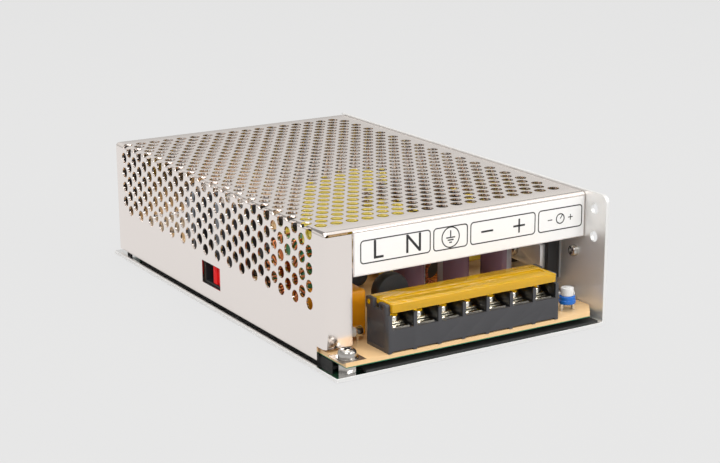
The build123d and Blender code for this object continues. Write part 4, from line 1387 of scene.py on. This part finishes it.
@dataclass
class FrontParts:
    """Small parts at the front: fuse, thermistor, trimmer and wire link."""

    fuse_place: Triple = (-0.0415, -0.0644, 0.0084)
    fuse_length: float = 0.010
    cap_length: float = 0.0026
    cap_radius: float = 0.0018
    cap_ease: float = 0.0003
    barrel_radius: float = 0.0016
    lead: float = 0.0004
    disc_place: Triple = (-0.0174, -0.0604, 0.0167)
    disc_radius: float = 0.0059
    disc_width: float = 0.0046
    trimmer: Triple = (0.03825, -0.074, 0.0076)
    trimmer_radius: float = 0.0027
    trimmer_height: float = 0.0026
    trimmer_bore: Pair = (0.00128, 0.0015)
    trimmer_ease: float = 0.0003
    rotor_base: float = 0.0103
    rotor_size: Pair = (0.0020, 0.0025)
    stub: Pair = (0.0012, 0.0014)
    link_x: float = 0.0432
    link_top: float = 0.0100
    link_ends: Pair = (-0.0713, -0.0665)
    link_bend: float = 0.0012
    board_top: float = 0.0054

    def fuse(self) -> None:
        """Builds the fuse's barrel and its two caps with their feet."""
        left, line, height = self.fuse_place
        place = at(*self.fuse_place) @ turn(90, "Y")
        length, cap, r = self.fuse_length, self.cap_length, self.barrel_radius
        barrel = lathe([(0, cap), (r, cap), (r, length - cap), (0, length - cap)], 28)
        finish_piece("fuse_barrel", moved(barrel, place), [CERAMIC], "ceramic", "fuse_body")
        r, ease = self.cap_radius, self.cap_ease
        parts = []
        for start in (0.0, length - cap):
            stop, x = start + cap, left + start + cap / 2
            profile = [(0, start), (r - ease, start), (r, start + ease), (r, stop - ease), (r - ease, stop),
                       (0, stop)]
            parts.append(moved(lathe(profile, 28), place))
            foot = [Vector((x, line, z)) for z in (self.board_top, height)]
            parts.append(bent_wire(foot, self.lead, 0.0))
        finish_piece("fuse_caps", joined(parts), [NICKEL], "nickel", "fuse_ends")

    def thermistor(self) -> None:
        """Builds the thermistor's coated disc."""
        half = [(0, 0), (0.8, 0), (0.93, 0.06), (0.985, 0.2), (1, 0.4)]
        shape = half + [(x, 1 - z) for x, z in reversed(half)]
        disc = lathe([(self.disc_radius * x, self.disc_width * z) for x, z in shape], 48)
        finish_piece("thermistor_body", moved(disc, at(*self.disc_place) @ turn(-90, "X")), [GREY_DISC],
                     "grey_disc", "thermistor_disc")

    def trimmer_parts(self) -> None:
        """Builds the trimmer's body, with the bore of its rotor, and the slotted rotor."""
        r, h, e = self.trimmer_radius, self.trimmer_height, self.trimmer_ease
        bore, deep = self.trimmer_bore
        profile = [(0, 0), (r - e, 0), (r, e), (r, h * 0.45), (r * 0.93, h * 0.5), (r * 0.93, h - e),
                   (r * 0.93 - e, h), (bore, h), (bore, h - deep), (0, h - deep)]
        finish_piece("trimmer_case", moved(lathe(profile, 40), at(*self.trimmer)), [BLUE], "blue_plastic",
                     "trimmer_body")
        head = ScrewHead(*self.rotor_size, Recess.SLOT, crown=0.88, arm_width=0.17, depth=0.36, steps=40,
                         shoulders=((0.97, 0.96), (1.0, 0.9), (1.0, 0.0)))
        r, deep = self.stub
        stub = lathe([(0, -deep), (r, -deep), (r, 0), (0, 0)], 24)
        rotor = moved(joined([head.mesh(), stub]), at(*self.trimmer[:2], self.rotor_base))
        finish_piece("trimmer_knob", rotor, [WHITE], "white_plastic", "trimmer_rotor", body="rotor")

    def build(self) -> None:
        """Builds the small parts of the front, with the bare wire link last."""
        self.fuse()
        self.thermistor()
        self.trimmer_parts()
        front, rear = self.link_ends
        low, top = self.board_top, self.link_top
        corners = ((front, low), (front, top), (rear, top), (rear, low))
        wire = bent_wire([Vector((self.link_x, y, z)) for y, z in corners], self.lead, self.link_bend)
        finish_piece("link_wire", wire, [TINNED], "tinned", "wire_link")


@dataclass
class BoardParts:
    """Tinned pads of the board and the small parts behind the front."""

    board_top: float = 0.0054
    resistor_left: float = -0.007
    resistor_lines: Triple = (0.058, 0.064, 0.070)
    resistor_radius: float = 0.0015
    resistor_length: float = 0.009
    waist: Pair = (0.24, 0.78)
    bands: tuple[float, ...] = (0.30, 0.42, 0.54, 0.74)
    stops: tuple[float, ...] = (0.0, 0.03, 0.1, 0.2, 0.27, 0.33, 0.39, 0.45, 0.51, 0.57, 0.71, 0.77, 0.8,
                                0.9, 0.97, 1.0)
    pad_half: float = 0.0041
    pad_depth: Pair = (0.00002, 0.00003)

    def resistors(self) -> None:
        """Builds the banded resistors, each with swollen ends."""
        r, length = self.resistor_radius, self.resistor_length
        profile = [(0, 0)]
        for stop in self.stops:
            swell = 0.86 if self.waist[0] <= stop <= self.waist[1] else 1.0
            profile.append((r * swell * (0.8 if stop in (0.0, 1.0) else 1.0), stop * length))
        profile.append((0, length))
        parts = []
        for y in self.resistor_lines:
            bm = lathe(profile, 24)
            for face in bm.faces:
                place = face.calc_center_median().z / length
                for number, band in enumerate(self.bands, start=1):
                    if abs(place - band) < 0.02:
                        face.material_index = number
            parts.append(moved(bm, at(self.resistor_left, y, self.board_top + r) @ turn(90, "Y")))
        finish_piece("banded_resistors", joined(parts), [RESISTOR_COAT, RED, BLACK, ORANGE_BOX, WHITE],
                     "resistor_coat", "resistors")

    def build(self) -> None:
        """Builds the resistors, the pads and the moulded parts."""
        self.resistors()
        half = Vector((self.pad_half, self.pad_half, 0))
        low, high = self.board_top - self.pad_depth[0], self.board_top + self.pad_depth[1]
        pads = [corner_box(Vector((x, y, low)) - half, Vector((x, y, high)) + half)
                for x, y in Fasteners.board_places]
        finish_piece("board_pads", joined(pads), [PAD_TIN], "tinned")
        for name, node in (("bridge_package", "bridge_rectifier"), ("chip_package", "control_chip"),
                           ("device_packages", "power_devices")):
            cad_piece(name, node, 0.0003, MOULDED, "moulded_black")
        cad_piece("selector_case", "selector_body", 0.0001, BLACK, "black_plastic", 1)
        cad_piece("selector_key", "selector_slider", 0.0002, RED, "red_plastic", body="slider")


# Camera, light and backdrop


@dataclass
class Studio:
    """Camera at the photograph's angle, soft lamps and a pale floor."""

    camera_place: Triple = (-0.2707, -0.4581, 0.1636)
    yaw: float = 31.26
    pitch: float = 15.16
    roll: float = -0.33
    lens: float = 81.7
    sensor: float = 36.0
    near: float = 0.01
    pale: Colour = (0.806, 0.806, 0.806)
    mirrored_sky: tuple[tuple[float, Colour], ...] = (
        (0.0, (0.42, 0.41, 0.40)), (0.42, (0.84, 0.83, 0.81)), (0.50, (0.24, 0.2352, 0.228)),
        (0.66, (0.22, 0.2156, 0.209)), (0.74, (1.0, 0.98, 0.95)))
    floor_colour: Colour = (0.50, 0.50, 0.50)
    floor_glow: float = 0.90
    floor_size: float = 6.0
    floor_drop: float = 0.0002

    def place(self, name: str, data: bpy.types.ID) -> bpy.types.Object:
        """Adds an object to the scene.

        Args:
            name: Name of the object.
            data: What it shows.

        Returns:
            The object.
        """
        item = bpy.data.objects.new(name, data)
        bpy.context.scene.collection.objects.link(item)
        return item

    def camera(self) -> None:
        """Makes the camera."""
        data = bpy.data.cameras.new("camera")
        data.lens, data.sensor_width, data.clip_start = self.lens, self.sensor, self.near
        item = self.place("camera", data)
        yaw, pitch = math.radians(self.yaw), math.radians(self.pitch)
        ahead = Vector((math.sin(yaw) * math.cos(pitch), math.cos(yaw) * math.cos(pitch), -math.sin(pitch)))
        aim = ahead.to_track_quat("-Z", "Y").to_matrix().to_4x4()
        item.matrix_world = at(*self.camera_place) @ aim @ turn(self.roll, "Z")
        bpy.context.scene.camera = item

    def world(self) -> None:
        """Makes the surroundings: plain to the camera, and a sky with a dark band as light."""
        world = bpy.data.worlds.new("studio")
        bpy.context.scene.world = world
        world.use_nodes = True
        graph = Graph(world.node_tree)
        graph.tree.nodes.clear()
        split = graph.add("SeparateXYZ", {0: graph.add("TexCoord").outputs["Generated"]})
        sky = graph.add("ValToRGB", {"Fac": split.outputs["Z"]})
        stops = sky.color_ramp.elements
        stops[0].position, stops[1].position = self.mirrored_sky[0][0], self.mirrored_sky[1][0]
        for position, _ in self.mirrored_sky[2:]:
            stops.new(position)
        for stop, (_, colour) in zip(stops, self.mirrored_sky):
            stop.color = (*colour, 1.0)
        path = graph.add("LightPath").outputs
        clear = graph.add("Math", {0: path["Is Camera Ray"], 1: path["Is Transmission Ray"]},
                          operation="MAXIMUM")
        mirrored = graph.add("Background", {"Color": sky.outputs["Color"]})
        seen = graph.add("Background", {"Color": (*self.pale, 1.0)})
        mix = graph.add("MixShader", {"Fac": clear.outputs[0], 1: mirrored.outputs[0], 2: seen.outputs[0]})
        graph.add("OutputWorld", {"Surface": mix.outputs[0]})

    def floor(self) -> None:
        """Makes the plain floor, which keeps the object's shadow."""
        bm = bmesh.new()
        bmesh.ops.create_grid(bm, x_segments=1, y_segments=1, size=self.floor_size / 2)
        mesh = bpy.data.meshes.new("floor")
        bm.to_mesh(mesh)
        bm.free()
        mesh.materials.append(self.floor_material())
        item = self.place("floor", mesh)
        item.location.z = -self.floor_drop

    def floor_material(self) -> bpy.types.Material:
        """Makes the floor's material, of the background's colour to the eye and in mirrors.

        Returns:
            The material, a part of which stays lit so that the shadow shows.
        """
        material = bpy.data.materials.new("pale_floor")
        material.use_nodes = True
        graph = Graph(material.node_tree)
        shader = graph.tree.nodes["Principled BSDF"]
        graph.feed(shader, {
            "Base Color": (*self.floor_colour, 1.0), "Roughness": 0.9, "Specular IOR Level": 0.1})
        plain = graph.add("Emission", {"Color": (*self.pale, 1.0)})
        path = graph.add("LightPath").outputs
        seen = graph.add("Math", {0: path["Is Camera Ray"], 1: path["Is Glossy Ray"]}, operation="MAXIMUM")
        any_view = graph.add("Math", {0: seen.outputs[0], 1: path["Is Transmission Ray"]},
                             operation="MAXIMUM")
        share = graph.add("Math", {0: any_view.outputs[0], 1: self.floor_glow}, operation="MULTIPLY")
        mix = graph.add("MixShader", {"Fac": share.outputs[0], 1: shader.outputs[0], 2: plain.outputs[0]})
        graph.feed(graph.tree.nodes["Material Output"], {"Surface": mix.outputs[0]})
        return material

    def lamp(self, name: str, place: Triple, size: float, power: float, tint: Colour,
             aim: Triple = (0, 0, 0.02)) -> None:
        """Makes a soft square lamp.

        Args:
            name: Name of the lamp.
            place: Where it stands.
            size: Side of its square.
            power: Its power in watts.
            tint: Its colour.
            aim: The point that it faces.
        """
        data = bpy.data.lights.new(name, "AREA")
        data.shape, data.size, data.energy, data.color = "SQUARE", size, power, tint
        item = self.place(name, data)
        facing = (Vector(aim) - Vector(place)).to_track_quat("-Z", "Y").to_matrix().to_4x4()
        item.matrix_world = at(*place) @ facing

    def build(self) -> None:
        """Builds the whole studio."""
        bpy.context.scene.view_settings.view_transform = "Standard"
        self.camera()
        self.world()
        self.floor()
        self.lamp("key", (-0.6, -0.7, 0.9), 0.7, 4.7, (1.0, 0.985, 0.97))
        self.lamp("fill", (0.9, -0.5, 0.6), 0.8, 2.5, (1.0, 0.99, 0.98))
        self.lamp("front", (0.30, -0.9, 0.50), 0.35, 2.8, (1.0, 0.99, 0.97), (0, -0.06, 0.02))
        self.lamp("top", (0.05, 0.15, 1.1), 0.5, 5.0, (1.0, 0.99, 0.98))


NODE_FINISHES: dict[str, Finish] = {
    "insulation_sheet": BLACK_SHEET, "circuit_board": LAMINATE, "trimmer_legs": TINNED,
    "thermistor_leads": TINNED, "bridge_leads": TINNED, "device_pads": GREY_PAD, "device_leads": TINNED,
}


def main() -> None:
    """Builds the dressed model piece by piece."""
    logging.basicConfig(level=logging.INFO, format="%(message)s")
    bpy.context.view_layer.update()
    Studio().build()
    for node, item in NODE_FINISHES.items():
        dress(node, item)
    for assembly in (Cover(), SheetParts(), Fasteners(), TerminalBlock(), Label(), Capacitors(),
                     WoundParts(), FrontParts(), BoardParts()):
        assembly.build()


if __name__ == "__main__":
    main()
